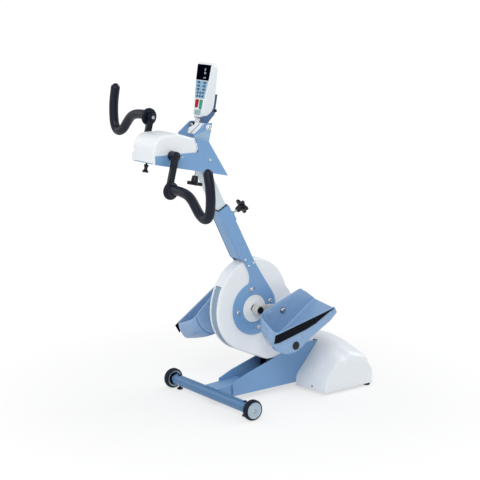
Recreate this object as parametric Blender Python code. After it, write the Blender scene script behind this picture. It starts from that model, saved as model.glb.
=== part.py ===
"""Active passive trainer: leg and arm cycling machine for a seated user.

Metres, +Z up. +X is the user's right, -Y is the side where the user sits, +Y the rear housing.
The origin is on the floor under the leg axle, half way along the machine.
"""
import math

import bmesh
import bpy
from mathutils import Matrix, Vector

# Clearances
GAP = 0.0003            # seat between two touching pieces
RUN = 0.00035           # radial running clearance of a shaft

# Leg axle and drum
AXLE_Z = 0.315
AXLE_R = 0.010
DRUM_R = 0.152
DRUM_TOP = 0.175
COVER_X = 0.026
COVER_WALL = 0.0025
BAND_X = 0.0155
BAND_T = 0.003
BAND_START = 149.0      # degrees round the axle
BAND_END = 244.0
HUB_HOLE_R = 0.049
SKIRT_X = 0.0365
SKIRT_FRONT = 0.050
SKIRT_REAR = 0.268
SKIRT_LOW = 0.125
SKIRT_TOP = 0.176
UPRIGHT_T = 0.004
UPRIGHT_X = 0.0192
BEARING_R = 0.021
PULLEY_R = 0.085
PULLEY_W = 0.014
BELT_T = 0.0028
BELT_W = 0.012

# Base frame
PLATE_X = 0.041
PLATE_T = 0.004
BASE_LOW = 0.022
BASE_FRONT = -0.100
BASE_REAR = 0.405
PLATE_TOP = 0.160
PLATE_TOP_Y = 0.240
PLATE_KNEE_Y = 0.100
PLATE_KNEE_Z = 0.134
BEAM_W = 0.068
BEAM_H = 0.038
BEAM_END = -0.030
CROSS_Y = -0.162
CROSS_R = 0.019
CROSS_WALL = 0.0025

# Transport wheels
WHEEL_R = 0.035
WHEEL_W = 0.028
WHEEL_X = 0.228
TYRE_T = 0.0065
STUB_R = 0.005
FOOT_X = 0.188

# Rear housing
HOUSING_X = 0.176
HOUSING_FRONT = 0.180
HOUSING_REAR = 0.430
HOUSING_TOP = 0.178
HOUSING_LOW = 0.010
HOUSING_WALL = 0.003
MOTOR_Y = 0.268
MOTOR_Z = 0.085
MOTOR_R = 0.033
MOTOR_LEN = 0.075
MOTOR_PULLEY_R = 0.018
BOARD_Y = MOTOR_Y - 0.028
INLET_X = -HOUSING_X + 0.061

# Leg cranks and foot shells
LEG_CRANK = 0.066
LEG_ANGLE = math.radians(-1.5)
CRANK_X = 0.046
CRANK_T = 0.014
CRANK_R = 0.016
SHELL_IN = 0.098
SHELL_OUT = 0.213
SHELL_T = 0.005
SHELL_HEEL = 0.123
SHELL_SKEW = 0.034
SHELL_TOE = 0.134
SHELL_DEPTH = 0.0695
SHELL_SAG = 0.024
HEEL_OUT = 0.025
SHELL_RIM_BEND = 0.093
MEDIAL_H = 0.1135
MEDIAL_FALL = 0.126     # fall of the inner rim per length, ahead of the heel
LATERAL_H = 0.084
TOE_LIP = 0.016
SPINDLE_R = 0.006
SHELL_TILT = {1: math.radians(27.0), -1: math.radians(48.0)}

# Mast
LEAN = math.radians(27.4)
MAST_W = 0.0523
MAST_D = 0.046
MAST_OFF = 0.0526
MAST_WALL = 0.0025
MAST_LOW = 0.186
MAST_TOP = 0.381
YOKE_T = 0.004
YOKE_R = 0.092
INNER_D = 0.036
INNER_W = 0.041
INNER_LOW = 0.265
INNER_TOP = 0.600
CLAMP_S = 0.330
KNOB_R = 0.028
KNOB_T = 0.011
YOKE_TOP = MAST_TOP - 0.002
YOKE_THIN = 0.0012

# Arm unit
PIVOT_S = 0.575
PIVOT_OFF = 0.060
PIVOT_R = 0.005
PIVOT_Y = -PIVOT_S * math.sin(LEAN) + PIVOT_OFF * math.cos(LEAN)
PIVOT_Z = AXLE_Z + PIVOT_S * math.cos(LEAN) + PIVOT_OFF * math.sin(LEAN)
ARM_REACH = 0.1537
ARM_RISE = 0.0269
ARM_Y = PIVOT_Y - ARM_REACH
ARM_Z = PIVOT_Z + ARM_RISE
ARM_AXLE_R = 0.008
ARM_PULLEY_R = 0.026
CASING_X = 0.0615
CASING_WALL = 0.003
CASING_FRONT = ARM_Y - 0.065
CASING_REAR = PIVOT_Y - 0.0447
CASING_TOP = ARM_Z + 0.066
BRACKET_T = 0.003
ARM_CRANK = 0.110
ARM_ANGLE = math.radians(14.0)
ARM_CRANK_X = 0.084
ARM_CRANK_T = 0.010
ARM_CRANK_W = 0.022
HANDLE_X = 0.104
GRIP_R = 0.0155
FLANGE_R = 0.029
HANDLE_START = HANDLE_X - 0.004
HANDLE_REACH = 0.3125
HANDLE_RISE = 0.089
# The grip's middle line: share of the way out to HANDLE_REACH, share of HANDLE_RISE above the pin
HANDLE_PATH = [(0.0, 0.0449), (0.1506, 0.0562), (0.3106, 0.0337), (0.4376, -0.0337), (0.5365, -0.1685),
               (0.6259, -0.3708), (0.7059, -0.5618), (0.7859, -0.6798), (0.8612, -0.7191),
               (0.9318, -0.6517), (0.9788, -0.4719), (0.9976, -0.2022), (1.0, 0.1124), (0.9835, 0.4494),
               (0.9506, 0.7865), (0.9271, 1.0)]

# Handset and cradle
CRADLE_Y = PIVOT_Y + 0.0063
CRADLE_Z = PIVOT_Z + 0.1019
CRADLE_R = 0.011
EAR_X = 0.042
EAR_T = 0.0025
HANDSET_TILT = math.radians(11.0)
HANDSET_H = 0.179
HANDSET_W = 0.084
HANDSET_FOOT_W = 0.047
HANDSET_T = 0.042
HANDSET_TOP_T = 0.0225
HANDSET_Y = CRADLE_Y + 0.0083
HANDSET_Z = CRADLE_Z + 0.028

CLAMP_ANGLES = (100.0, 184.0, 285.0, 15.0)
FLOOR_CLEAR = 0.004
SEG = 24

COLOURS = {
    "frame_blue": ((0.22, 0.37, 0.60), 0.35, 0.1),
    "shell_blue": ((0.19, 0.33, 0.55), 0.25, 0.0),
    "white_plastic": ((0.84, 0.86, 0.87), 0.30, 0.0),
    "grey_band": ((0.24, 0.34, 0.44), 0.45, 0.0),
    "steel": ((0.60, 0.60, 0.61), 0.30, 1.0),
    "light_steel": ((0.62, 0.70, 0.74), 0.35, 0.6),
    "black_plastic": ((0.015, 0.02, 0.03), 0.30, 0.0),
    "grip": ((0.012, 0.016, 0.026), 0.40, 0.0),
    "tyre": ((0.03, 0.045, 0.065), 0.65, 0.0),
    "hub_grey": ((0.45, 0.55, 0.62), 0.40, 0.0),
    "belt": ((0.02, 0.02, 0.02), 0.80, 0.0),
    "board": ((0.03, 0.22, 0.10), 0.50, 0.0),
    "lens": ((0.002, 0.002, 0.02), 0.08, 0.0),
    "keypad": ((0.20, 0.38, 0.55), 0.45, 0.0),
    "red": ((0.60, 0.01, 0.03), 0.40, 0.0),
    "green": ((0.02, 0.30, 0.22), 0.40, 0.0),
}

MATERIALS = {}
EMPTIES = {}


def clear_scene():
    """Remove whatever the file holds before the model is made."""
    for obj in list(bpy.data.objects):
        bpy.data.objects.remove(obj, do_unlink=True)


def material(name):
    """Return the Principled material called name, made once."""
    if name not in MATERIALS:
        colour, rough, metal = COLOURS[name]
        made = bpy.data.materials.new(name)
        made.use_nodes = True
        shader = made.node_tree.nodes["Principled BSDF"]
        shader.inputs["Base Color"].default_value = (*colour, 1.0)
        shader.inputs["Roughness"].default_value = rough
        shader.inputs["Metallic"].default_value = metal
        MATERIALS[name] = made
    return MATERIALS[name]


def joint_empty(name, place):
    """Empty on a joint's axis that carries the pieces of one moving body."""
    empty = bpy.data.objects.new(name, None)
    empty.location = place
    bpy.context.collection.objects.link(empty)
    EMPTIES[name] = Vector(place)
    return empty


def finish(name, bm, mat, parent=None, smooth=30.0):
    """Turn a bmesh into a named object with one material, under its joint's empty."""
    bmesh.ops.remove_doubles(bm, verts=bm.verts, dist=1e-6)
    bmesh.ops.recalc_face_normals(bm, faces=bm.faces)
    mesh = bpy.data.meshes.new(name)
    bm.to_mesh(mesh)
    bm.free()
    mesh.shade_smooth()
    mesh.set_sharp_from_angle(angle=math.radians(smooth))
    obj = bpy.data.objects.new(name, mesh)
    bpy.context.collection.objects.link(obj)
    if mat:
        obj.data.materials.append(material(mat))
    if parent:
        obj.parent = parent
        obj.matrix_parent_inverse = Matrix.Translation(-EMPTIES[parent.name])
    return obj


def add_prism(bm, outline, low, high, to_world):
    """Add a prism: the 2-D outline extruded from low to high, placed by to_world(a, b, depth)."""
    start = [bm.verts.new(to_world(a, b, low)) for a, b in outline]
    end = [bm.verts.new(to_world(a, b, high)) for a, b in outline]
    bm.faces.new(start)
    bm.faces.new(list(reversed(end)))
    count = len(outline)
    for i in range(count):
        j = (i + 1) % count
        bm.faces.new((start[i], end[i], end[j], start[j]))


def across(y, z, x):
    """Prism placement for an outline in the side view, extruded across the machine."""
    return Vector((x, y, z))


def add_box(bm, low, high):
    """Add an upright box between two corners."""
    outline = [(low[1], low[2]), (high[1], low[2]), (high[1], high[2]), (low[1], high[2])]
    add_prism(bm, outline, low[0], high[0], across)


def add_turned(bm, profile, place, axis, seg=SEG):
    """Spin a profile of (along, radius) points about axis through place.

    A profile that starts and ends on the axis makes a solid; any other is closed on itself.
    """
    turn = Vector((0, 0, 1)).rotation_difference(Vector(axis).normalized()).to_matrix()
    solid = profile[0][1] == 0.0 and profile[-1][1] == 0.0
    rings = []
    for along, radius in profile:
        if radius == 0.0:
            rings.append([bm.verts.new(Vector(place) + turn @ Vector((0, 0, along)))])
            continue
        ring = []
        for i in range(seg):
            a = 2 * math.pi * (i + 0.5) / seg
            point = Vector((radius * math.cos(a), radius * math.sin(a), along))
            ring.append(bm.verts.new(Vector(place) + turn @ point))
        rings.append(ring)
    pairs = list(zip(rings[:-1], rings[1:]))
    if not solid:
        pairs.append((rings[-1], rings[0]))
    for first, second in pairs:
        for i in range(seg):
            j = (i + 1) % seg
            if len(first) == 1:
                bm.faces.new((first[0], second[i], second[j]))
            elif len(second) == 1:
                bm.faces.new((first[i], first[j], second[0]))
            else:
                bm.faces.new((first[i], first[j], second[j], second[i]))


def rod(length_from, length_to, radius, chamfer=0.0):
    """Profile of a plain rod with an optional chamfer at both ends."""
    if chamfer == 0.0:
        return [(length_from, 0.0), (length_from, radius), (length_to, radius), (length_to, 0.0)]
    return [(length_from, 0.0), (length_from, radius - chamfer), (length_from + chamfer, radius),
            (length_to - chamfer, radius), (length_to, radius - chamfer), (length_to, 0.0)]


def ring_profile(low, high, inner, outer):
    """Profile of a ring or a bush."""
    return [(low, inner), (low, outer), (high, outer), (high, inner)]


def turned(name, profile, place, axis, mat, parent=None, seg=SEG):
    """One turned piece as its own object."""
    bm = bmesh.new()
    add_turned(bm, profile, place, axis, seg)
    return finish(name, bm, mat, parent)


def prism(name, outline, low, high, mat, parent=None, to_world=across):
    """One extruded piece as its own object."""
    bm = bmesh.new()
    add_prism(bm, outline, low, high, to_world)
    return finish(name, bm, mat, parent)


def guide(name, bm):
    """Hidden cutter or tool body for a Boolean."""
    obj = finish(name, bm, None)
    obj.hide_render = True
    obj.display_type = "WIRE"
    return obj


def boolean(obj, tool, operation):
    """Keep an exact Boolean on obj."""
    mod = obj.modifiers.new(operation.lower(), "BOOLEAN")
    mod.operation = operation
    mod.solver = "EXACT"
    mod.object = tool


def bevel(obj, width, segments=2, angle=40.0):
    """Round the edges of a finished solid."""
    mod = obj.modifiers.new("round", "BEVEL")
    mod.width = width
    mod.segments = segments
    mod.limit_method = "ANGLE"
    mod.angle_limit = math.radians(angle)


def arc(cy, cz, radius, start, end, count):
    """Points of an arc in the side view, angles in degrees."""
    points = []
    for i in range(count + 1):
        a = math.radians(start + (end - start) * i / count)
        points.append((cy + radius * math.cos(a), cz + radius * math.sin(a)))
    return points


def mast_point(w, s, x=0.0):
    """World point from mast coordinates: w behind the axle, s up along the mast."""
    y = -s * math.sin(LEAN) + w * math.cos(LEAN)
    z = AXLE_Z + s * math.cos(LEAN) + w * math.sin(LEAN)
    return Vector((x, y, z))


def mast_frame(w, s, x):
    """Prism placement for an outline drawn in mast coordinates."""
    return mast_point(w, s, x)


MAST_UP = Vector((0.0, -math.sin(LEAN), math.cos(LEAN)))
MAST_BACK = Vector((0.0, math.cos(LEAN), math.sin(LEAN)))


def drum_outline(inset, start, end, count):
    """Drum profile: round below the axle, taller above it."""
    points = []
    for i in range(count + 1):
        a = math.radians(start + (end - start) * i / count)
        tall = DRUM_TOP if math.sin(a) > 0 else DRUM_R
        points.append(((DRUM_R - inset) * math.cos(a), AXLE_Z + (tall - inset) * math.sin(a)))
    return points


def leg_pedal(side):
    """Pedal axis in the side view for the right (+1) or left (-1) crank."""
    y = side * LEG_CRANK * math.cos(LEG_ANGLE)
    z = AXLE_Z + side * LEG_CRANK * math.sin(LEG_ANGLE)
    return y, z


def arm_pivot(side):
    """Handle axis in the side view for the right (+1) or left (-1) arm crank."""
    y = ARM_Y - side * ARM_CRANK * math.sin(ARM_ANGLE)
    z = ARM_Z - side * ARM_CRANK * math.cos(ARM_ANGLE)
    return y, z


def plate_outline(rear_top):
    """Side view of one base plate; the wedge runs on inside the rear housing."""
    return [(BASE_FRONT, BASE_LOW), (BASE_REAR, BASE_LOW), (BASE_REAR, BASE_LOW + 0.038),
            (PLATE_TOP_Y + 0.078, rear_top), (PLATE_TOP_Y, rear_top), (PLATE_KNEE_Y, PLATE_KNEE_Z),
            (PLATE_KNEE_Y - 0.035, PLATE_KNEE_Z - 0.011), (BASE_FRONT + 0.052, PLATE_KNEE_Z - 0.044),
            (BASE_FRONT - 0.002, PLATE_KNEE_Z - 0.066)]


def build_base():
    """Channel of two side plates and a web, the front beam and the wheel tube."""
    bm = bmesh.new()
    for side in (1, -1):
        x = side * (PLATE_X - PLATE_T / 2)
        add_prism(bm, plate_outline(PLATE_TOP), x - PLATE_T / 2, x + PLATE_T / 2, across)
    frame = finish("base_frame", bm, "frame_blue")
    web = bmesh.new()
    add_box(web, (-PLATE_X + 0.001, BASE_FRONT + 0.002, BASE_LOW),
            (PLATE_X - 0.001, BASE_REAR - 0.002, BASE_LOW + PLATE_T))
    boolean(frame, guide("web_tool", web), "UNION")
    hole = bmesh.new()
    add_turned(hole, rod(-PLATE_X - 0.002, 0.0, 0.012), (0, MOTOR_Y, MOTOR_Z), (1, 0, 0))
    boolean(frame, guide("motor_shaft_cutter", hole), "DIFFERENCE")

    beam_low = BASE_LOW + PLATE_T + GAP
    bm = bmesh.new()
    add_box(bm, (-BEAM_W / 2, CROSS_Y, beam_low), (BEAM_W / 2, BEAM_END, beam_low + BEAM_H))
    beam = finish("front_beam", bm, "frame_blue")
    core = bmesh.new()
    add_box(core, (-BEAM_W / 2 + 0.003, CROSS_Y - 0.01, beam_low + 0.003),
            (BEAM_W / 2 - 0.003, BEAM_END + 0.01, beam_low + BEAM_H - 0.003))
    boolean(beam, guide("beam_core", core), "DIFFERENCE")
    saddle = bmesh.new()
    add_turned(saddle, rod(-0.05, 0.05, CROSS_R + GAP), (0, CROSS_Y, WHEEL_R), (1, 0, 0), 32)
    boolean(beam, guide("beam_saddle", saddle), "DIFFERENCE")

    build_crossbar()


def build_crossbar():
    """Wheel tube with closed ends that carry the wheels' stub axles, and its levelling screws."""
    reach = WHEEL_X - WHEEL_W / 2 - 0.006
    end = WHEEL_X + WHEEL_W / 2 - 0.004
    profile = [(-end, 0.0), (-end, STUB_R), (-reach - 0.004, STUB_R), (-reach - 0.004, CROSS_R - 0.004),
               (-reach, CROSS_R), (reach, CROSS_R), (reach + 0.004, CROSS_R - 0.004),
               (reach + 0.004, STUB_R), (end, STUB_R), (end, 0.0)]
    tube = turned("crossbar", profile, (0, CROSS_Y, WHEEL_R), (1, 0, 0), "frame_blue", seg=32)
    holes = bmesh.new()
    add_turned(holes, rod(-reach + 0.006, reach - 0.006, CROSS_R - CROSS_WALL), (0, CROSS_Y, WHEEL_R),
               (1, 0, 0), 32)
    boolean(tube, guide("crossbar_room", holes), "DIFFERENCE")
    holes = bmesh.new()
    top = WHEEL_R + CROSS_R
    for side, word in ((1, "right"), (-1, "left")):
        place = (side * FOOT_X, CROSS_Y, 0)
        add_turned(holes, rod(0.0, 0.08, 0.0042 + GAP), place, (0, 0, 1), 16)
        profile = [(FLOOR_CLEAR, 0.0), (FLOOR_CLEAR, 0.0105), (FLOOR_CLEAR + 0.004, 0.0105),
                   (FLOOR_CLEAR + 0.006, 0.0042), (top + GAP, 0.0042),
                   (top + GAP, 0.0085), (top + 0.006, 0.0075), (top + 0.008, 0.005), (top + 0.008, 0.0)]
        turned(word + "_levelling_foot", profile, place, (0, 0, 1), "black_plastic", seg=16)
    boolean(tube, guide("foot_holes", holes), "DIFFERENCE")


def build_wheels():
    """Two transport wheels: a rubber tyre on a disc hub."""
    rim_r = WHEEL_R - TYRE_T
    half = WHEEL_W / 2
    for side, word in ((1, "right"), (-1, "left")):
        place = (side * WHEEL_X, CROSS_Y, WHEEL_R)
        empty = joint_empty(word + "_wheel_joint", place)
        tyre = [(-half + 0.002, rim_r), (-half + 0.002, rim_r + 0.002), (-half + 0.006, WHEEL_R - 0.001),
                (-half + 0.009, WHEEL_R), (half - 0.009, WHEEL_R), (half - 0.006, WHEEL_R - 0.001),
                (half - 0.002, rim_r + 0.002), (half - 0.002, rim_r)]
        turned(word + "_tyre", tyre, place, (side, 0, 0), "tyre", empty, 36)
        bore = STUB_R + RUN
        hub_r = rim_r - GAP
        hub = [(-half + 0.001, bore), (-half + 0.001, 0.011), (-half + 0.006, 0.011),
               (-half + 0.006, hub_r - 0.003), (-half + 0.003, hub_r - 0.002), (-half + 0.003, hub_r),
               (half - 0.003, hub_r), (half - 0.002, hub_r - 0.001), (half - 0.002, 0.009),
               (half, 0.009), (half, bore)]
        turned(word + "_wheel_hub", hub, place, (side, 0, 0), "hub_grey", empty, 36)


def build_uprights():
    """Two inner plates from the web up to the leg axle, with their bearings and the ring screws."""
    low = BASE_LOW + PLATE_T + GAP
    outline = [(0.064, low), (0.106, low), (0.106, 0.160)]
    outline += arc(0.0, AXLE_Z, 0.080, -18.0, 200.0, 16)
    outline.append((0.064, 0.150))
    bm = bmesh.new()
    for side in (1, -1):
        x = side * (UPRIGHT_X + UPRIGHT_T / 2)
        add_prism(bm, outline, x - UPRIGHT_T / 2, x + UPRIGHT_T / 2, across)
    plates = finish("axle_uprights", bm, "steel")
    flange = bmesh.new()
    add_box(flange, (-UPRIGHT_X - 0.001, 0.064, low), (UPRIGHT_X + 0.001, 0.106, low + UPRIGHT_T))
    boolean(plates, guide("upright_flange", flange), "UNION")
    studs = bmesh.new()
    face = COVER_X + GAP + YOKE_T + GAP
    for side in (1, -1):
        for y, z in clamp_screw_places():
            profile = [(UPRIGHT_X + 0.001, 0.0), (UPRIGHT_X + 0.001, 0.0031), (face, 0.0031),
                       (face, 0.0065), (face + 0.003, 0.0055), (face + 0.003, 0.0)]
            add_turned(studs, profile, (0, y, z), (side, 0, 0), 12)
    boolean(plates, guide("clamp_studs", studs), "UNION")
    bore = bmesh.new()
    add_turned(bore, rod(-0.04, 0.04, BEARING_R + GAP), (0, 0, AXLE_Z), (1, 0, 0))
    boolean(plates, guide("bearing_bore", bore), "DIFFERENCE")
    for side, word in ((1, "right"), (-1, "left")):
        profile = [(UPRIGHT_X - 0.003, AXLE_R + RUN), (UPRIGHT_X - 0.003, BEARING_R - 0.003),
                   (UPRIGHT_X - GAP * 2, BEARING_R - 0.003), (UPRIGHT_X - GAP * 2, BEARING_R),
                   (COVER_X - COVER_WALL - GAP, BEARING_R), (COVER_X - COVER_WALL - GAP, AXLE_R + RUN)]
        turned(word + "_bearing", profile, (0, 0, AXLE_Z), (side, 0, 0), "steel")


def cover_outline(inset):
    """Outline of a drum cover: the drum and the belt skirt that runs down into the base."""
    points = drum_outline(inset, 22.0, 245.0, 44)
    low = SKIRT_LOW + inset
    return points + [(SKIRT_FRONT + inset, low + 0.001), (SKIRT_FRONT + 0.050, low),
                     (SKIRT_REAR - 0.018 - inset, low), (SKIRT_REAR - inset, SKIRT_TOP - inset)]


def build_drum_covers():
    """Two halves of the drum casing with a flared belt skirt, and the band between them."""
    for side, word in ((1, "right"), (-1, "left")):
        bm = bmesh.new()
        outline = cover_outline(0.0)
        add_prism(bm, outline, side * GAP / 2, side * COVER_X, across)
        cover = finish("drum_cover_" + word, bm, "white_plastic")
        cheek = bmesh.new()
        low, rear, high = SKIRT_LOW + 0.002, SKIRT_REAR - 0.020, SKIRT_TOP - 0.004
        top = [(SKIRT_FRONT - 0.085, high + 0.014), (SKIRT_FRONT, low), (rear, low), (rear + 0.014, high),
               (SKIRT_REAR - 0.118, high + 0.078), (SKIRT_FRONT, high + 0.063)]
        bottom = [(SKIRT_FRONT - 0.060, high - 0.002), (SKIRT_FRONT + 0.002, low + 0.001),
                  (rear - 0.002, low + 0.001), (rear + 0.010, high - 0.006),
                  (SKIRT_REAR - 0.108, high + 0.018), (SKIRT_FRONT, high + 0.013)]
        inner = [cheek.verts.new((side * (COVER_X - 0.004), y, z)) for y, z in top]
        outer = [cheek.verts.new((side * SKIRT_X, y, z)) for y, z in bottom]
        cheek.faces.new(inner)
        cheek.faces.new(list(reversed(outer)))
        for i in range(len(inner)):
            j = (i + 1) % len(inner)
            cheek.faces.new((inner[i], outer[i], outer[j]))
            cheek.faces.new((inner[i], outer[j], inner[j]))
        boolean(cover, guide("cheek_tool_" + word, cheek), "UNION")
        hollow = bmesh.new()
        room = cover_outline(COVER_WALL)
        room[-4:] = [(SKIRT_FRONT + COVER_WALL * 2, low - 0.001 + COVER_WALL),
                     (SKIRT_FRONT + 0.050, SKIRT_LOW - 0.025), (SKIRT_REAR + 0.012, SKIRT_LOW - 0.025),
                     (SKIRT_REAR - 0.002 - COVER_WALL, SKIRT_TOP - COVER_WALL)]
        add_prism(hollow, room, -side * 0.002, side * (COVER_X - COVER_WALL), across)
        boolean(cover, guide("cover_room_" + word, hollow), "DIFFERENCE")
        channel = bmesh.new()
        start, end = BAND_START - 0.3, BAND_END + 0.3
        outline = drum_outline(-0.004, start, end, 40)
        outline += reversed(drum_outline(0.0030 + BAND_T + 0.001, start, end, 40))
        add_prism(channel, outline, -side * 0.002, side * (BAND_X + GAP), across)
        boolean(cover, guide("band_channel_" + word, channel), "DIFFERENCE")
        bore = bmesh.new()
        add_turned(bore, rod(0.0, 0.06, AXLE_R + 0.003), (0, 0, AXLE_Z), (side, 0, 0))
        for y, z in clamp_screw_places():
            add_turned(bore, rod(0.0, 0.06, 0.0035), (0, y, z), (side, 0, 0), 12)
        boolean(cover, guide("cover_holes_" + word, bore), "DIFFERENCE")
        bump = bmesh.new()
        add_turned(bump, ring_profile(COVER_X - 0.001, COVER_X + YOKE_T - 0.0005, AXLE_R + 0.003,
                                      HUB_HOLE_R - 0.001), (0, 0, AXLE_Z), (side, 0, 0), 40)
        boolean(cover, guide("hub_disc_tool_" + word, bump), "UNION")

    outer = drum_outline(0.0030, BAND_START, BAND_END, 40)
    inner = drum_outline(0.0030 + BAND_T, BAND_START, BAND_END, 40)
    prism("rim_band", outer + list(reversed(inner)), -BAND_X, BAND_X, "grey_band")


def clamp_screw_places():
    """Side-view places of the four ring screws, midway across the ring."""
    radius = (HUB_HOLE_R + YOKE_R) / 2 - 0.001
    return [(radius * math.cos(math.radians(a)), AXLE_Z + radius * math.sin(math.radians(a)))
            for a in CLAMP_ANGLES]


def build_drive():
    """Motor behind the base plate, its belt to the big pulley, and the electrics."""
    bm = bmesh.new()
    reach = -PLATE_X - GAP
    profile = [(0.0, 0.0), (0.0, MOTOR_R - 0.002), (0.002, MOTOR_R), (MOTOR_LEN * 0.62, MOTOR_R),
               (MOTOR_LEN * 0.62, MOTOR_R - 0.004), (MOTOR_LEN, MOTOR_R - 0.004), (MOTOR_LEN, 0.0)]
    add_turned(bm, profile, (reach, MOTOR_Y, MOTOR_Z), (-1, 0, 0), 28)
    finish("drive_motor", bm, "black_plastic")

    rotor = joint_empty("motor_pulley_joint", (0, MOTOR_Y, MOTOR_Z))
    half = PULLEY_W / 2
    profile = [(-PLATE_X + 0.0005, 0.0), (-PLATE_X + 0.0005, 0.006), (-half, 0.006),
               (-half, MOTOR_PULLEY_R + 0.003), (-half + 0.001, MOTOR_PULLEY_R + 0.003),
               (-half + 0.001, MOTOR_PULLEY_R), (half - 0.001, MOTOR_PULLEY_R),
               (half - 0.001, MOTOR_PULLEY_R + 0.003), (half, MOTOR_PULLEY_R + 0.003), (half, 0.0)]
    turned("motor_pulley", profile, (0, MOTOR_Y, MOTOR_Z), (1, 0, 0), "steel", rotor)

    build_belt("drive_belt", (0.0, AXLE_Z, PULLEY_R), (MOTOR_Y, MOTOR_Z, MOTOR_PULLEY_R), BELT_W, BELT_T)

    bm = bmesh.new()
    low = BASE_LOW + 0.030
    add_box(bm, (PLATE_X + 0.020, BOARD_Y, low), (PLATE_X + 0.105, BOARD_Y + 0.145, low + 0.0016))
    board = finish("control_board", bm, "board")
    parts = bmesh.new()
    for i in range(4):
        y = BOARD_Y + 0.015 + 0.033 * i
        add_box(parts, (PLATE_X + 0.028, y, low + 0.001),
                (PLATE_X + 0.044 + 0.006 * (i % 2), y + 0.020, low + 0.014))
    add_box(parts, (PLATE_X + 0.055, BOARD_Y + 0.022, low + 0.001),
            (PLATE_X + 0.094, BOARD_Y + 0.085, low + 0.036))
    for y in (BOARD_Y + 0.006, BOARD_Y + 0.139):
        for x in (PLATE_X + 0.026, PLATE_X + 0.099):
            add_box(parts, (x - 0.003, y - 0.003, low - 0.018), (x + 0.003, y + 0.003, low + 0.0005))
    boolean(board, guide("board_parts", parts), "UNION")
    tray = bmesh.new()
    add_box(tray, (PLATE_X + GAP, BOARD_Y + 0.003, low - 0.022),
            (PLATE_X + 0.104, BOARD_Y + 0.142, low - 0.0175))
    boolean(board, guide("board_tray", tray), "UNION")


def build_belt(name, big, small, width, thick, parent=None, x=0.0):
    """Flat belt round two pulleys, a thin seat outside both."""
    (y1, z1, r1), (y2, z2, r2) = big, small
    length = math.hypot(y2 - y1, z2 - z1)
    heading = math.atan2(z2 - z1, y2 - y1)
    lift = math.acos((r1 - r2) / length)
    rings = []
    for extra in (0.0005, 0.0005 + thick):
        loop = []
        start = heading + lift
        for i in range(25):
            a = start + (2 * math.pi - 2 * lift) * i / 24
            loop.append((y1 + (r1 + extra) / math.cos(math.pi / 24) * math.cos(a),
                         z1 + (r1 + extra) / math.cos(math.pi / 24) * math.sin(a)))
        for i in range(13):
            a = heading - lift + 2 * lift * i / 12
            loop.append((y2 + (r2 + extra) / math.cos(math.pi / 24) * math.cos(a),
                         z2 + (r2 + extra) / math.cos(math.pi / 24) * math.sin(a)))
        rings.append(loop)
    bm = bmesh.new()
    corners = []
    for loop, side in ((rings[0], -1), (rings[1], -1), (rings[1], 1), (rings[0], 1)):
        corners.append([bm.verts.new((x + side * width / 2, y, z)) for y, z in loop])
    count = len(corners[0])
    for k in range(4):
        first, second = corners[k], corners[(k + 1) % 4]
        for i in range(count):
            j = (i + 1) % count
            bm.faces.new((first[i], first[j], second[j], second[i]))
    return finish(name, bm, "belt", parent)


def housing_section(x_share):
    """Side profile of the rear housing at a share of its half width, 0 by the frame, 1 outside."""
    f = x_share
    front = HOUSING_FRONT - 0.010 + 0.028 * f
    low = HOUSING_LOW
    rear = HOUSING_REAR - 0.012 * f ** 4
    ridge = HOUSING_TOP - 0.046 * f ** 1.5
    tall = HOUSING_TOP
    return [(front, low), (front + 0.001, 0.225 * tall), (front + 0.012, 0.326 * tall - 0.004 * f),
            (front + 0.040, 0.517 * tall - 0.002 * f), (front + 0.072, 0.742 * tall - 0.014 * f),
            (front + 0.100, ridge - 0.012), (HOUSING_FRONT + 0.128 + 0.006 * f, ridge),
            (HOUSING_REAR - 0.085, ridge - 0.007), (HOUSING_REAR - 0.045, ridge - 0.028 + 0.008 * f),
            (rear - 0.022, 0.551 * tall - 0.004 * f), (rear - 0.006, 0.393 * tall), (rear, 0.225 * tall),
            (rear, low)]


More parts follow.
